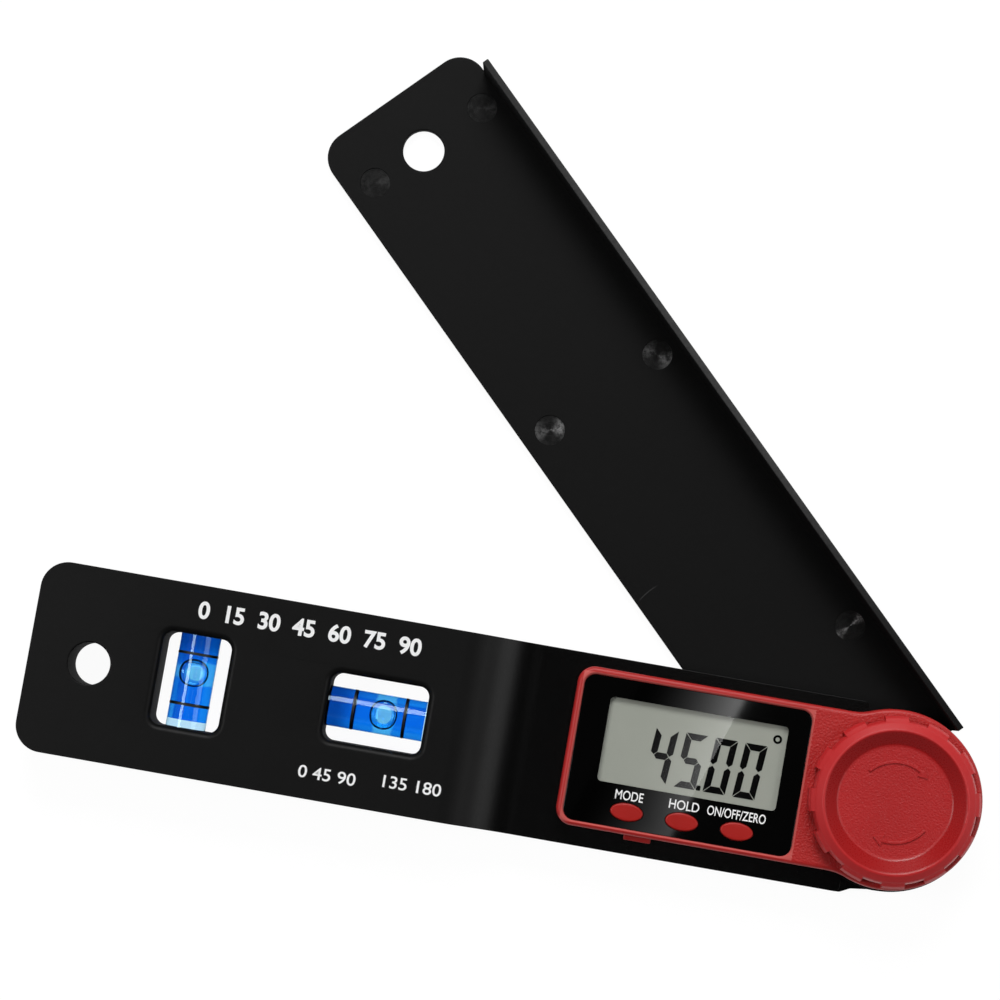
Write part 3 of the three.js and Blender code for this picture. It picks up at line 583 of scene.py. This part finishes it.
def add_vial(name, x, half, along_y, bubble, lines, plug_end, plug):
    """A vial along X or Y; the bubble and the lines are places along it, and the plug is as long as given, in mm. Its
    plug_end is 1 or -1."""
    r, cap = vial_radius, 0.35
    body = turned(f"{name}_vial_body", eased([(0, -half), (r, -half), (r, half), (0, half)], cap, False))
    dress(lying(body, x, along_y), acrylic, "arm", f"{name}_vial", f"{name}_vial_plug", slot="acrylic", sharp=50)
    low, high = sorted((plug_end * (half - plug), -plug_end * (half - 0.9)))
    filled = eased([(0, low), (liquid_radius, low), (liquid_radius, high), (0, high)], 0.3, False)
    spot = (x, arm_line + bubble) if along_y else (x + bubble, arm_line)
    blue = blue_liquid(f"{name}_blue_liquid", x, along_y, spot, -plug_end)
    dress(lying(turned(f"{name}_vial_liquid", filled), x, along_y), blue, "arm", f"{name}_vial_fluid", slot="fluid",
          sharp=50)
    bubble_radius, bubble_half, bubble_level = 3.3, 1.15, vial_level + liquid_radius - 1.25
    turns = [math.pi * k / 24 for k in range(25)]
    profile = [(bubble_radius * math.sin(a), bubble_level + bubble_half * math.cos(a)) for a in turns]
    dress(turned(f"{name}_vial_bubble", profile, *spot, count=64), air, "arm", slot="fluid", sharp=180)
    for side, along in zip("ab", lines):
        band = barrel(f"{name}_vial_line_{side}", r + 0.005, r + 0.03, along - 0.3, along + 0.3)
        dress(lying(band, x, along_y), vial_line_ink, "arm")


add_vial("upright", upright_x, upright_half, True, 2.0, (6.5, -5.6), -1, 2.8)
add_vial("level", level_x, level_half, False, 1.7, (-5.5, 6.7), 1, 1.8)


# The back cover, a thin black sheet in the arm's rebate, with openings under the vials, the hanging hole and the
# battery. Eight countersunk steel screws with crossed recesses hold it.
def notched(x, y, radius, notch, angles, width):
    """A circle about a place that steps out to the radius of a notch over some angles in degrees."""
    points = []
    for turn in range(0, 360, 3):
        near = any(abs((turn - a + 180) % 360 - 180) <= width / 2 for a in angles)
        points.append(polar(notch if near else radius, turn, x, y))
    return points


def coat_nodes(finish, *nodes):
    """Gives CAD nodes that stay as they are their finish."""
    for node in nodes:
        coat(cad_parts[node], finish)


battery_x = middle_of("battery_door")[0]
cover_screw_spots = [middle_of(f"cover_screw_{i}") for i in range(1, 9)]
cover_low, cover_high = box_mm("back_cover")
cover = moulding("back_cover_sheet", plate(cover_low.x, cover_low.y, cover_high.x, cover_high.y, 5.15, 0.3),
                 cover_low.z, cover_high.z,
                 [*window_outlines(), hanging_hole, notched(battery_x, arm_line, 12.5, 13.9, (-45, 135), 29),
                  *[circle(x, y, 1.5, 24) for x, y in cover_screw_spots]], top=0.1, rim=0.12)
countersinks = [turned("countersink", [(0, 2.9), (2.45, 2.9), (2.45, 3.1), (1.2, 4.5), (0, 4.5)], x, y, 32)
                for x, y in cover_screw_spots]
carve(cover, sharp_plate("bite", circle(0, 0, hub_radius + 0.15, 120), 2, 6), *countersinks)
cover_plastic = black_plastic("back_cover_plastic", 0.0036, 0.42, 0.3, 0.014)
dress(cover, cover_plastic, "arm", "back_cover", slot="arm_plastic")

steel = Finish("screw_steel")
steel_grain = steel.noise(0.6, 4, 0.7)
screw_steel = steel.surface(
    Base_Color=steel.blend(steel_grain, (0.42, 0.42, 0.43, 1), (0.56, 0.56, 0.57, 1)), Metallic=1.0,
    Roughness=0.28 + steel_grain * 0.2, Normal=steel.relief(steel_grain, 0.01))
screw_low, screw_high = box_mm("cover_screw_1")
screw_head, screw_shank = 2.3, 1.1
profile = eased([(0, screw_low.z), (screw_head, screw_low.z), (screw_head, screw_low.z + 0.12),
                 (screw_shank, screw_low.z + 1.6), (screw_shank, screw_high.z - 0.4), (0.7, screw_high.z),
                 (0, screw_high.z)], 0.06, False)
for i, (x, y) in enumerate(cover_screw_spots, 1):
    made = turned(f"cover_screw_{i}_head", profile, x, y, 32)
    slots = [sharp_plate("cross", centred(0, 0, *size, 0.12), screw_low.z - 0.5, screw_low.z + 0.8)
             for size in ((2.6, 0.55), (0.55, 2.6))]
    to_head = Matrix.Translation((x * MM, y * MM, 0)) @ Matrix.Rotation(math.radians(31 * i - 14), 4, "Z")
    for slot in slots:
        slot.data.transform(to_head)
    dress(carve(made, *slots), screw_steel, "arm", f"cover_screw_{i}", slot="steel", sharp=30)
coat_nodes(screw_steel, *[f"casing_screw_{i}" for i in range(1, 5)])


# The battery door, a round black moulding with a coin slot. Two lugs under it catch behind the cover, and a collar
# holds the coin cell, which two brass springs touch.
door_low, door_high = box_mm("battery_door")
door = moulding("battery_door_disc", circle(battery_x, arm_line, 12.2, 96), door_low.z, door_low.z + 1.4,
                top=0.1, bottom=0.3)
collar = barrel("collar", 9.8, 11.6, door_low.z + 1.3, door_high.z, battery_x, arm_line)
lugs = []
for middle in (0, 180):
    start, end = middle - 12, middle + 12
    outline = arc(battery_x, arm_line, 11.0, start, end) + arc(battery_x, arm_line, 13.6, end, start)
    lugs.append(moulding("lug", outline, door_low.z + 1.55, door_low.z + 2.55, top=0.1, bottom=0.1))
coin_slot = sharp_plate("coin_slot", centred(battery_x, arm_line, 12, 1.6, 0.5), door_low.z - 1, door_low.z + 0.8)
carve(carve(door, collar, *lugs, how="UNION"), coin_slot)
dress(door, cover_plastic, "door", "battery_door", slot="arm_plastic")
brass = Finish("contact_brass")
tarnish = brass.noise(1.5, 4, 0.6)
contact_brass = brass.surface(Base_Color=brass.blend(tarnish, (0.66, 0.46, 0.2, 1), (0.8, 0.6, 0.3, 1)), Metallic=1.0,
                              Roughness=0.25 + tarnish * 0.25)
coat_nodes(contact_brass, "negative_contact", "positive_contact")
coat_nodes(screw_steel, "battery_cell")


# The blade, a flat moulding of black plastic with a flange along its outer edge that the front arm folds against, and a
# pad about the pivot. Six ejector pins of its mould left round marks that look turned, with glints painted on them as
# highlights. The top of the flange is painted lighter along its middle as a highlight. It is drawn folded shut and then
# opened.
def cut_rings(distance, spacing):
    """Goes between 0 and 1 in rings, a spacing in mm apart, as a cutter leaves them."""
    return distance.maths("SINE", distance * (2 * math.pi / spacing)) * 0.5 + 0.5


open_angle = 45
blade_tip, blade_radius, blade_outer = -205.5, 21.7, 23.75
flange_inner, flange_top, flange_start, flange_end = 22.2, 14.3, blade_tip + 7.2, -4.4
tip_corner = 6.6
tip_x, tip_y = blade_tip - 0.3 + tip_corner, flange_inner + 0.3
blade_outline = (
    arc(tip_x, tip_corner - blade_radius, tip_corner, 180, 270) + arc(0, 0, blade_radius, 270, 450, 3)
    + [(flange_end, blade_radius), (flange_end, blade_outer), (flange_start + 0.5, blade_outer)]
    + [(flange_start + 0.5, tip_y)] + arc(tip_x, tip_y - tip_corner, tip_corner, 90, 180))
blade = moulding("blade_moulding", blade_outline, 0, 2.4, [hanging_hole], bottom=0.3, rim=0.3)
flange_section = (
    [(flange_inner, 1.5)]
    + eased([(flange_inner, 10), (flange_inner, flange_top), (blade_outer, flange_top), (blade_outer, 10)], 0.3, False)
    + [(blade_outer, 0.6), (blade_outer - 0.6, 0.6)])
flange = moulding("flange", flange_section, flange_start, flange_end, top=0.15, bottom=0.15)
flange.data.transform(Matrix(((0, 0, 1, 0), (1, 0, 0, 0), (0, 1, 0, 0), (0, 0, 0, 1))))
pad_top = box_mm("encoder_rotor")[0].z
pad = moulding("pad", circle(0, 0, 18.7, 120), 1.0, pad_top, top=0.2)
carve(blade, flange, pad, how="UNION")
mark_spots = [(blade_tip * share, 1.1 + side * 15.75) for share in (0.188, 0.575, 0.931) for side in (-1, 1)]
dents = [turned("dent", [(0, 2.15), (3.55, 2.15), (3.65, 2.25), (3.65, 3), (0, 3)], x, y, 48) for x, y in mark_spots]
neck_hole = sharp_plate("neck_hole", centred(0, 0, 6.3, 6.3, 0.3), -1, pad_top + 1)
head_hole = barrel("head_hole", 0, 8.15, -1, 1.5)
carve(blade, *dents, neck_hole, head_hole)
to_open = Matrix.Rotation(math.radians(-open_angle), 4, "Z")
blade.data.transform(to_open)
black = Finish("blade_plastic")
grain, flow, scuffs = black.noise(0.2, 3, 0.6), black.noise(30, 3), black.noise(1.4, 4, 0.7)
level = black.part("Z")
marks, painted_glint, nearest = 0.0, 0.0, None
# The glint painted on each mark as a highlight: its direction in degrees, how narrow it is and how strong.
glints = ((60, 6, 0.01), (48, 30, 0.3), (20, 5, 0.13), (-18, 4, 0.11), (22, 6, 0.012), (10, 6, 0.02))
for spot, (turn, narrowness, strength) in zip(mark_spots, glints):
    away = black.from_spot(*(to_open @ Vector((*spot, 0))).xy)
    distance = black.vector("LENGTH", away)
    side = black.vector("DOT_PRODUCT", black.vector("NORMALIZE", away), (*polar(1, turn), 0))
    inside = black.step(distance, 3.66, 3.56) * black.step(level, 1.9, 2.1)
    marks = inside + marks
    painted_glint = inside * (abs(side) ** narrowness * (side * 0.3 + 0.7) * strength + 0.006) + painted_glint
    nearest = distance.maths("MINIMUM", nearest, distance) if nearest else distance
rubbed = black.edge(0.3) * black.step(scuffs, 0.45, 0.8)
wall = black.step(abs(black.upward()), 0.85, 0.6)
reach = black.vector("LENGTH", black.place) * (1 / MM)
on_flange = black.step(level, flange_top - 0.4, flange_top - 0.2)
# Painted highlight: a lighter streak along the middle of the flange's top.
strip = on_flange * black.step(reach, 20, 90) * black.step(reach, 290, 130) * (scuffs * 0.9 + 0.35)
from_scratch = black.from_spot(*(to_open @ Vector((-72.9, -18.1, 0))).xy)
down_it, over_it = [black.vector("DOT_PRODUCT", from_scratch, (*polar(1, turn), 0)) for turn in (50, 140)]
scratch = black.step(abs(over_it + down_it * down_it * 0.03), 0.16, 0.05) * black.step(abs(down_it), 3.4, 1.5)
colour = black.blend(flow, grey(0.0018), grey(0.003))
colour = black.blend(strip, colour, grey(0.05))
colour = black.blend(rubbed, colour, grey(0.005))
colour = black.blend(scratch * black.step(level, 2.0, 2.2), colour, grey(0.03))
# Painted highlight: a glint on each mark.
colour = black.blend(painted_glint * (black.step(scuffs, 0.35, 0.7) * 1.7 + 0.2), colour, grey(1.0))
height = grain * (1 - marks) * 0.5 + cut_rings(nearest, 0.45) * marks * 0.5
blade_plastic = black.surface(
    Base_Color=colour, Roughness=0.47 + (grain - 0.5) * 0.16 - marks * 0.1 + wall * 0.35, Specular_IOR_Level=0.15,
    Normal=black.relief(height, 0.03))
dress(blade, blade_plastic, "blade_assembly", "blade", slot="blade_plastic")


# The pivot bolt, turned steel with a flush round head, a square neck that sits in the blade and a threaded shank. The
# encoder's copper ring lies on the blade's pad, round a white bush. A steel wave washer presses on the knob's stem.
def from_axis(finish):
    """Distance from the pivot's axis, in mm."""
    return finish.vector("LENGTH", finish.from_spot(0, 0))


profile = [(0, 0), (8, 0), (8, 1.4), (2.9, 1.4), (2.9, 17.6), (2.5, 18.1), (0, 18.1)]
bolt = turned("pivot_bolt_shank", eased(profile, [0, 0.35, 0.1, 0, 0, 0, 0], False))
neck = moulding("neck", centred(0, 0, 6, 6, 0.3), 0.7, pad_top - 0.1, top=0.1, bottom=0)
carve(bolt, neck, how="UNION")
bolt.data.transform(to_open)
lathe = Finish("turned_steel")
patina = lathe.noise(3, 4, 0.6)
turned_steel = lathe.surface(
    Base_Color=lathe.blend(patina, (0.4, 0.4, 0.41, 1), (0.55, 0.55, 0.56, 1)), Metallic=1.0,
    Roughness=0.26 + patina * 0.18, Normal=lathe.relief(cut_rings(from_axis(lathe), 0.3), 0.006))
dress(bolt, turned_steel, "blade_assembly", "pivot_bolt", slot="steel")


def plain(name, first, second, roughness, size, bump, metallic=0.0):
    """A moulded or pressed finish for the inner pieces: two near colours in patches, and a fine surface."""
    finish = Finish(name)
    patches = finish.noise(size, 4, 0.6)
    return finish.surface(Base_Color=finish.blend(patches, first, second), Roughness=roughness + patches * 0.15,
                          Metallic=metallic, Normal=finish.relief(finish.noise(size / 4, 3), bump))


ring_copper = plain("ring_copper", (0.62, 0.3, 0.16, 1), (0.75, 0.4, 0.22, 1), 0.28, 2.0, 0.004, 1.0)
board_green = plain("board_green", (0.01, 0.09, 0.035, 1), (0.015, 0.13, 0.05, 1), 0.35, 3.0, 0.004)
bush_white = plain("bush_white", (0.72, 0.71, 0.67, 1), (0.8, 0.79, 0.76, 1), 0.4, 2.0, 0.006)
rubber = plain("connector_rubber", grey(0.1), grey(0.15), 0.6, 0.6, 0.02)
coat_nodes(ring_copper, "encoder_rotor")
coat_nodes(board_green, "encoder_stator", "main_board")
coat_nodes(bush_white, "pivot_bush")
coat_nodes(screw_steel, "wave_washer")
coat_nodes(rubber, "lcd_connector", "mode_switch", "hold_switch", "power_switch")


# The display casing, one red moulding on the deck: a frame about the lens, a boss about the pivot, and a small tab at
# its lower side. Its flat face has a coarse spark texture, its bezel is smooth and rounded.
casing_low, casing_high = box_mm("display_casing")
casing_left, casing_top, casing_line, half_width, casing_wall = casing_low.x, casing_high.z, 0.43, 18.75, 1.6
boss, boss_x, flare = 21.1, -0.3, 12.0
flare_y = half_width + flare
flare_x = boss_x - math.sqrt((boss + flare) ** 2 - flare_y ** 2)
meet = math.degrees(math.atan2(flare_y, flare_x - boss_x))
casing_outline = (
    [(casing_left + 4, casing_line - half_width)]
    + arc(flare_x, casing_line - flare_y, flare, 90, 180 - meet, 3)
    + arc(boss_x, casing_line, boss, -meet, meet, 3)
    + arc(flare_x, casing_line + flare_y, flare, meet - 180, -90, 3)
    + arc(casing_left + 4, casing_line + half_width - 4, 4, 90, 180)
    + arc(casing_left + 4, casing_line - half_width + 4, 4, 180, 270))
casing = moulding("display_casing_moulding", casing_outline, deck, casing_top, top=1.0, bottom=0.15, steps=5)
tab = moulding("tab", plate(-60.4, casing_line - half_width - 1.3, -54, 0, 0.3), deck, deck + 2.2, bottom=0.1)
carve(casing, tab, how="UNION")
lens_low, lens_high = box_mm("display_lens")
room_half = half_width - casing_wall
room_outline = plate(casing_left + casing_wall, casing_line - room_half, lens_high.x, casing_line + room_half, 2.4, 1)
carve(casing,
      sharp_plate("room", room_outline, deck - 1, lens_low.z - 1),
      sharp_plate("opening", around(lens_low, lens_high, -1, 1.7), deck - 1, casing_top),
      sharp_plate("seat", around(lens_low, lens_high, 0.12, 2.75), lens_low.z - 0.02, casing_top + 1),
      moulding("seat_edge", around(lens_low, lens_high, 0.47, 3.1), casing_top - 0.35, casing_top + 1,
               top=0, bottom=0.35, steps=1),
      barrel("boss_room", 10.4, 19.6, deck - 1, casing_top - casing_wall),
      barrel("bolt_way", 0, bolt_bore, deck - 1, casing_top),
      barrel("stem_way", 0, 8.5, deck + 1.4, casing_top + 1))


def red_plastic(name, colour, roughness, grain, grain_depth, texture=None, polish_and_shade=None, painted_highlight=None, highlight_colour=None):
    """Red plastic: mould grain, faint flow marks, edges rubbed paler. Three masks say how deep the grain is, where the
    mould is smoother and painted darker as shade, and where a highlight is painted in another colour."""
    def tinted(red, green, blue):
        return colour[0] * red, colour[1] * green, colour[2] * blue, 1

    finish = Finish(name)
    cells = finish.node("ShaderNodeTexVoronoi", {}, {"Vector": finish.place, "Scale": 1 / (grain * MM)}, "Distance")
    fine = (finish.noise(grain, 2, 0.55) + cells) * 0.5
    broad, pits = finish.noise(14, 3), finish.noise(1.8, 4, 0.7)
    rubbed = finish.edge(0.3) * finish.step(pits, 0.42, 0.8)
    shade = finish.blend(broad, tinted(0.88, 0.88, 0.88), tinted(1.12, 1.12, 1.12))
    rough = roughness + (fine - 0.5) * 0.08 + (broad - 0.5) * 0.08 - rubbed * 0.06
    if polish_and_shade:
        polished_and_shaded = polish_and_shade(finish)
        # Painted shade: darker within the mask, where the mould is smoother.
        shade = finish.blend(polished_and_shaded, shade, tinted(0.8, 0.5, 0.5))
        rough = rough - polished_and_shaded * 0.16
    if painted_highlight:
        # Painted highlight: paler, in another colour, within the mask.
        shade = finish.blend(painted_highlight(finish), shade, highlight_colour)
    shade = finish.blend(rubbed * 0.7, shade, tinted(1.35, 3.2, 3.0))
    height = (fine - 0.5) * texture(finish) + 0.5 if texture else fine
    return finish.surface(Base_Color=shade, Roughness=rough, Specular_IOR_Level=0.38,
                          Normal=finish.relief(height, grain_depth))


def flat_face(finish):
    """1 on the casing's flat face between the lens and the knob, low on its bezel."""
    return finish.step(finish.part("X"), -21.9, -20.9) * finish.step(finish.upward(), 0.9, 0.99) * 0.93 + 0.07


def lens_seat(finish):
    """1 on the thin edge of the bezel against the lens, where a pale highlight is painted."""
    middle, half = (lens_low + lens_high) / 2, (lens_high - lens_low) / 2
    along_x, along_y = [finish.step(abs(finish.part(axis) - middle[i]), half[i] + 0.62, half[i] + 0.5)
                        for i, axis in enumerate("XY")]
    return along_x * along_y * finish.step(finish.part("Z"), casing_top - 0.5, casing_top - 0.4)


# The bezel's thin edge against the lens gets a painted highlight.
casing_red = red_plastic("casing_red", (0.42, 0.014, 0.013), 0.44, 0.5, 0.2, flat_face,
                         painted_highlight=lens_seat, highlight_colour=(0.55, 0.09, 0.08, 1))
dress(casing, casing_red, "arm", "display_casing", slot="casing_red")


# The display: a liquid crystal glass of greenish grey with black segments that read 45.00 and a degree ring, held in
# the casing, its connector strip below it.
lcd_low, lcd_high = box_mm("lcd_glass")
glass = moulding("lcd_glass_pane", around(lcd_low, lcd_high, 0, 0.6), lcd_low.z, lcd_high.z, top=0.1, bottom=0.1)
lcd = Finish("lcd_grey")
speckle, cloud = lcd.noise(0.16, 2), lcd.noise(9, 2)
lcd_grey = lcd.surface(Base_Color=lcd.blend(cloud, (0.335, 0.352, 0.306, 1), (0.36, 0.372, 0.328, 1)),
                       Roughness=0.15 + speckle * 0.1, Specular_IOR_Level=0.1, Normal=lcd.relief(speckle, 0.001))
dress(glass, lcd_grey, "arm", "lcd_glass", slot="lcd")
segment_ink = Finish("segment_black")
film = segment_ink.noise(0.5, 3)
segment_black = segment_ink.surface(Base_Color=segment_ink.blend(film, grey(0.001), grey(0.002)),
                                    Roughness=0.4 + film * 0.15, Specular_IOR_Level=0.02)
digit_height, digit_width, stroke, stroke_gap, slant = 12.95, 5.25, 1.55, 0.15, 0.085
film_low, film_high = lcd_high.z + 0.01, lcd_high.z + 0.05
shapes = {"4": "bcfg", "5": "acdfg", "0": "abcdef"}


def segment(name, x, y, kind):
    """One bar of a slanted seven-segment digit, whose lower left corner is at x, y."""
    h, w, t, gap = digit_height, digit_width, stroke, stroke_gap
    middle = h / 2
    rows = {
        "a": [(gap, h), (w - gap, h), (w - t, h - t), (t, h - t)],
        "d": [(t, t), (w - t, t), (w - gap, 0), (gap, 0)],
        "g": [(t / 2 + gap, middle), (t, middle + t / 2), (w - t, middle + t / 2), (w - t / 2 - gap, middle),
              (w - t, middle - t / 2), (t, middle - t / 2)],
        "f": [(0, h - gap), (t, h - t - gap), (t, middle + t / 2 + gap), (t / 2, middle + gap), (0, middle + t / 2)],
        "e": [(0, middle - t / 2), (t / 2, middle - gap), (t, middle - t / 2 - gap), (t, t + gap), (0, gap)],
    }
    rows["b"] = [(w - px, py) for px, py in rows["f"]]
    rows["c"] = [(w - px, py) for px, py in rows["e"]]
    points = [(x + px + py * slant, y + py) for px, py in rows[kind]]
    return sharp_plate(name, points, film_low, film_high)


digits_y = -5.3
for i, (digit, x) in enumerate(zip("4500", (-58.2, -51.15, -44.15, -37.15)), 1):
    bars = [segment(f"digit_{i}", x, digits_y, kind) for kind in shapes[digit]]
    dress(carve(bars[0], *bars[1:], how="UNION"), segment_black, "arm", slot="lcd")
point = sharp_plate("decimal_point", centred(-45.25, digits_y + 0.6, 1.05, 1.2, 0.25), film_low, film_high)
dress(point, segment_black, "arm", slot="lcd")
degree = barrel("degree_ring", 0.5, 1.05, film_low, film_high, -28.85, 9.65, 32)
dress(degree, segment_black, "arm", slot="lcd")


# The lens, a clear acrylic sheet printed black on its back except for the window, set flush in the casing. The keys
# come through three oval holes in it.
def key_outline(x, y, grow=0.0):
    """The oval of a key, grown by so many mm on all sides."""
    return [(x + (3.85 + grow) * px, y + (2.05 + grow) * py) for px, py in circle(0, 0, 1, 64)]


key_spots = [middle_of(f"{name}_key") for name in ("mode", "hold", "power")]
window = plate(-68.9, -6.95, -26.7, 12.93, 1.0)
lens = moulding("display_lens_sheet", around(lens_low, lens_high, 0, 2.7), lens_low.z, lens_high.z,
                [*[key_outline(*spot, 0.15) for spot in key_spots], window], top=0.05, bottom=0.1, rim=0.02)
gloss = Finish("lens_black")
haze, hairlines = gloss.noise(12, 3), gloss.noise(0.8, 5, 0.75)
lens_black = gloss.surface(
    Base_Color=gloss.blend(haze, grey(0.0006), grey(0.001)), Roughness=0.015 + haze * 0.015 + hairlines * 0.02,
    Specular_IOR_Level=0.5, Normal=gloss.relief(hairlines, 0.00008))
dress(lens, lens_black, "arm", "display_lens", slot="lens", sharp=12)
pane = sharp_plate("display_window", drawn_in(tidy(window), 0.01), lens_low.z, lens_high.z)
dress(pane, clear("window_acrylic", 1.3), "arm", slot="lens", sharp=12)
for words, x, width in (("MODE", -60.84, 6.6), ("HOLD", -47.84, 7.1), ("ON/OFF/ZERO", -35.45, 13.8)):
    printed("label_" + words.replace("/", "_").lower(), words, x, -9.4, lens_high.z - 0.005, 2.15, width, 0.03)


# The three keys, red ovals with a smooth crown, each over its switch. A collar under the lens keeps each from falling
# out.
key_red = red_plastic("key_red", (0.38, 0.009, 0.006), 0.42, 0.3, 0.02)
for name, spot in zip(("mode", "hold", "power"), key_spots):
    key_low, key_high = box_mm(f"{name}_key")
    cap = moulding(f"{name}_key_cap", key_outline(*spot), key_low.z, key_high.z, top=0.35, bottom=0.1, steps=5)
    collar = moulding("collar", key_outline(*spot, 0.6), key_low.z, lens_low.z - 0.3, top=0.1, bottom=0.1)
    carve(cap, collar, how="UNION")
    dress(cap, key_red, f"{name}_button", f"{name}_key", slot="key_red")


# The lock knob, a dished cap of red plastic with twelve grips round its rim and two raised arrows that follow its
# turn. Its stem holds a brass nut that runs on the pivot bolt.
knob_low, knob_high = box_mm("lock_knob")
knob_under, knob_top = casing_top + 0.2, knob_high.z
knob_floor = knob_top - 2.6
profile = [(0, knob_floor), (13.3, knob_floor), (16.15, knob_top - 0.3), (16.6, knob_top), (17.0, knob_top - 0.08),
           (18.7, knob_top - 1.3), (19.1, knob_top - 2.8), (19.1, knob_under), (16.5, knob_under),
           (16.5, knob_floor - 1.2), (10.1, knob_floor - 1.2), (10.1, knob_under), (8.2, knob_under),
           (8.2, knob_low.z), (0, knob_low.z)]
corners = [0, 1.6, 0.3, 0.25, 0.5, 1.4, 1.4, 0.35, 0.2, 0.6, 0.6, 0.2, 0.3, 0.2, 0]
knob = turned("lock_knob_cap", eased(profile, corners, False, 4), count=192)
grip_section = [(17.4, knob_under), (20.05, knob_under), (20.05, knob_top - 3.0), (19.5, knob_top - 2.0),
                (18.5, knob_top - 1.25), (17.4, knob_top - 0.7)]
grips = turned("grips", eased(grip_section, [0, 0.1, 0.5, 0.9, 0.5, 0]), ring=True, count=192)
gap_corners = ((17.0, -6.4), (21.0, -7.4), (21.0, 7.4), (17.0, 6.4))
gaps = [sharp_plate("gap", [polar(r, middle + a) for r, a in gap_corners], knob_under - 1, knob_top)
        for middle in range(23, 383, 30)]
carve(knob, carve(grips, *gaps), how="UNION")
pocket = sharp_plate("nut_pocket", circle(0, 0, 8.3 / math.sqrt(3), 6), knob_low.z - 1, knob_low.z + 4.2)
shank_way = barrel("shank_way", 0, 3.15, knob_low.z, knob_low.z + 5.4, count=48)
carve(knob, pocket, shank_way)
for tail, barb, tip in ((139, 59, 45), (326, 261, 246)):
    head = [polar(8.0, barb), polar(9.35, tip), polar(10.8, barb)]
    arrow = moulding("arrow", head + arc(0, 0, 9.7, barb, tail, 3) + arc(0, 0, 9.0, tail, barb, 3),
                     knob_floor - 0.1, knob_floor + 0.32, top=0.12, bottom=0)
    carve(knob, arrow, how="UNION")


def dish(finish):
    """1 on the knob's dished floor, low on its rim."""
    return finish.step(from_axis(finish), 13.5, 12.9) * 0.92 + 0.08


def knob_rim(finish):
    """1 on the knob's rim, which is painted paler as a highlight."""
    return finish.step(from_axis(finish), 16.2, 16.8)


def dish_wall(finish):
    """1 on the wall of the dish, which is smoother and painted darker as shade."""
    return finish.step(from_axis(finish), 13.2, 13.5) * (1 - knob_rim(finish))


# The knob's rim is painted paler as a highlight, and the wall of its dish darker as shade.
knob_red = red_plastic("knob_red", (0.43, 0.012, 0.013), 0.44, 0.45, 0.16, dish, dish_wall, knob_rim,
                       (0.507, 0.018, 0.02, 1))
dress(knob, knob_red, "knob", "lock_knob", slot="knob_red", sharp=32)
coat_nodes(contact_brass, "knob_nut")


# The studio: a plain white floor that keeps a soft shadow, a large soft lamp at the top and smaller ones left and
# right, in a pale room with a dark ceiling. Only reflections see the light card beside the camera.
floor = Finish("floor_white")
paper = floor.noise(3, 3)
paint = floor.node("ShaderNodeBsdfPrincipled", {}, {
    "Base Color": floor.blend(paper, grey(0.8), grey(0.84)), "Roughness": 0.9, "Specular IOR Level": 0.1})
white = floor.node("ShaderNodeEmission", {}, {"Color": grey(1.0), "Strength": 1.05})
floor_white = floor.end(floor.node("ShaderNodeMixShader", {}, {
    0: ray_is(floor, "Camera", "Glossy", "Transmission") * 0.91, 1: paint, 2: white}))
floor_mesh = bmesh.new()
bmesh.ops.create_grid(floor_mesh, x_segments=1, y_segments=1, size=6000)
ground = as_piece("floor", floor_mesh)
ground.location = (-0.09, 0.05, -0.0001)
ground.data.materials.append(floor_white)

room = Finish("room", "World", "Generated")
height = room.node("ShaderNodeSeparateXYZ", {}, {"Vector": room.place}, "Z")
bpy.context.scene.world = room.end(room.node("ShaderNodeBackground", {}, {
    "Color": grey(1.0), "Strength": 0.24 - room.step(height, 0.15, 0.85) * 0.22}))
tool_middle = Vector((-0.09, 0.03, 0))


def lamp(name, place, size, power):
    """A square soft lamp, aimed at the tool, in metres and watts."""
    light = bpy.data.lights.new(name, "AREA")
    light.shape, light.size, light.energy = "SQUARE", size, power
    made = bpy.data.objects.new(name, light)
    made.location = place
    made.rotation_mode = "QUATERNION"
    made.rotation_quaternion = (tool_middle - Vector(place)).to_track_quat("-Z", "Y")
    made.visible_camera = False
    bpy.context.scene.collection.objects.link(made)


lamp("top_lamp", (-0.25, 1.25, 1.2), 0.85, 21)
lamp("left_lamp", (-0.80, -0.02, 0.95), 0.35, 3.7)
lamp("right_lamp", (0.75, 0.12, 0.80), 0.6, 2.9)

card_level, card_width, card_length, card_reach = 0.7537, 0.046, 0.0713, 0.16
foot, top_end = Vector((-0.01549, -0.04405)), Vector((0.00749, 0.02341))
along = (top_end - foot).normalized()
out = Vector((-along.y, along.x))
card_mesh = bmesh.new()
corners = [foot - along * card_reach, top_end + along * card_reach]
rim = [*corners, corners[1] + out * card_width, corners[0] + out * card_width]
card_mesh.faces.new([card_mesh.verts.new((*(p / MM), card_level / MM)) for p in rim])
card = as_piece("light_card", card_mesh)
glow = Finish("card_glow")
offset = glow.vector("SUBTRACT", glow.place, (foot.x, foot.y, card_level))
fade = glow.vector("DOT_PRODUCT", offset, (out.x, out.y, 0)) / card_width
rise = glow.vector("DOT_PRODUCT", offset, (along.x, along.y, 0)) / card_length
bright = fade.maths("MAXIMUM", 1 - fade, 0.0) ** 3.0 * (rise.maths("MINIMUM", abs(rise), 1.6) * 2.6 + 1.4)
card.data.materials.append(glow.end(glow.node("ShaderNodeEmission", {}, {"Color": grey(1.0), "Strength": bright})))
card.visible_camera = card.visible_diffuse = card.visible_shadow = False

bpy.context.scene.view_settings.view_transform = "Standard"
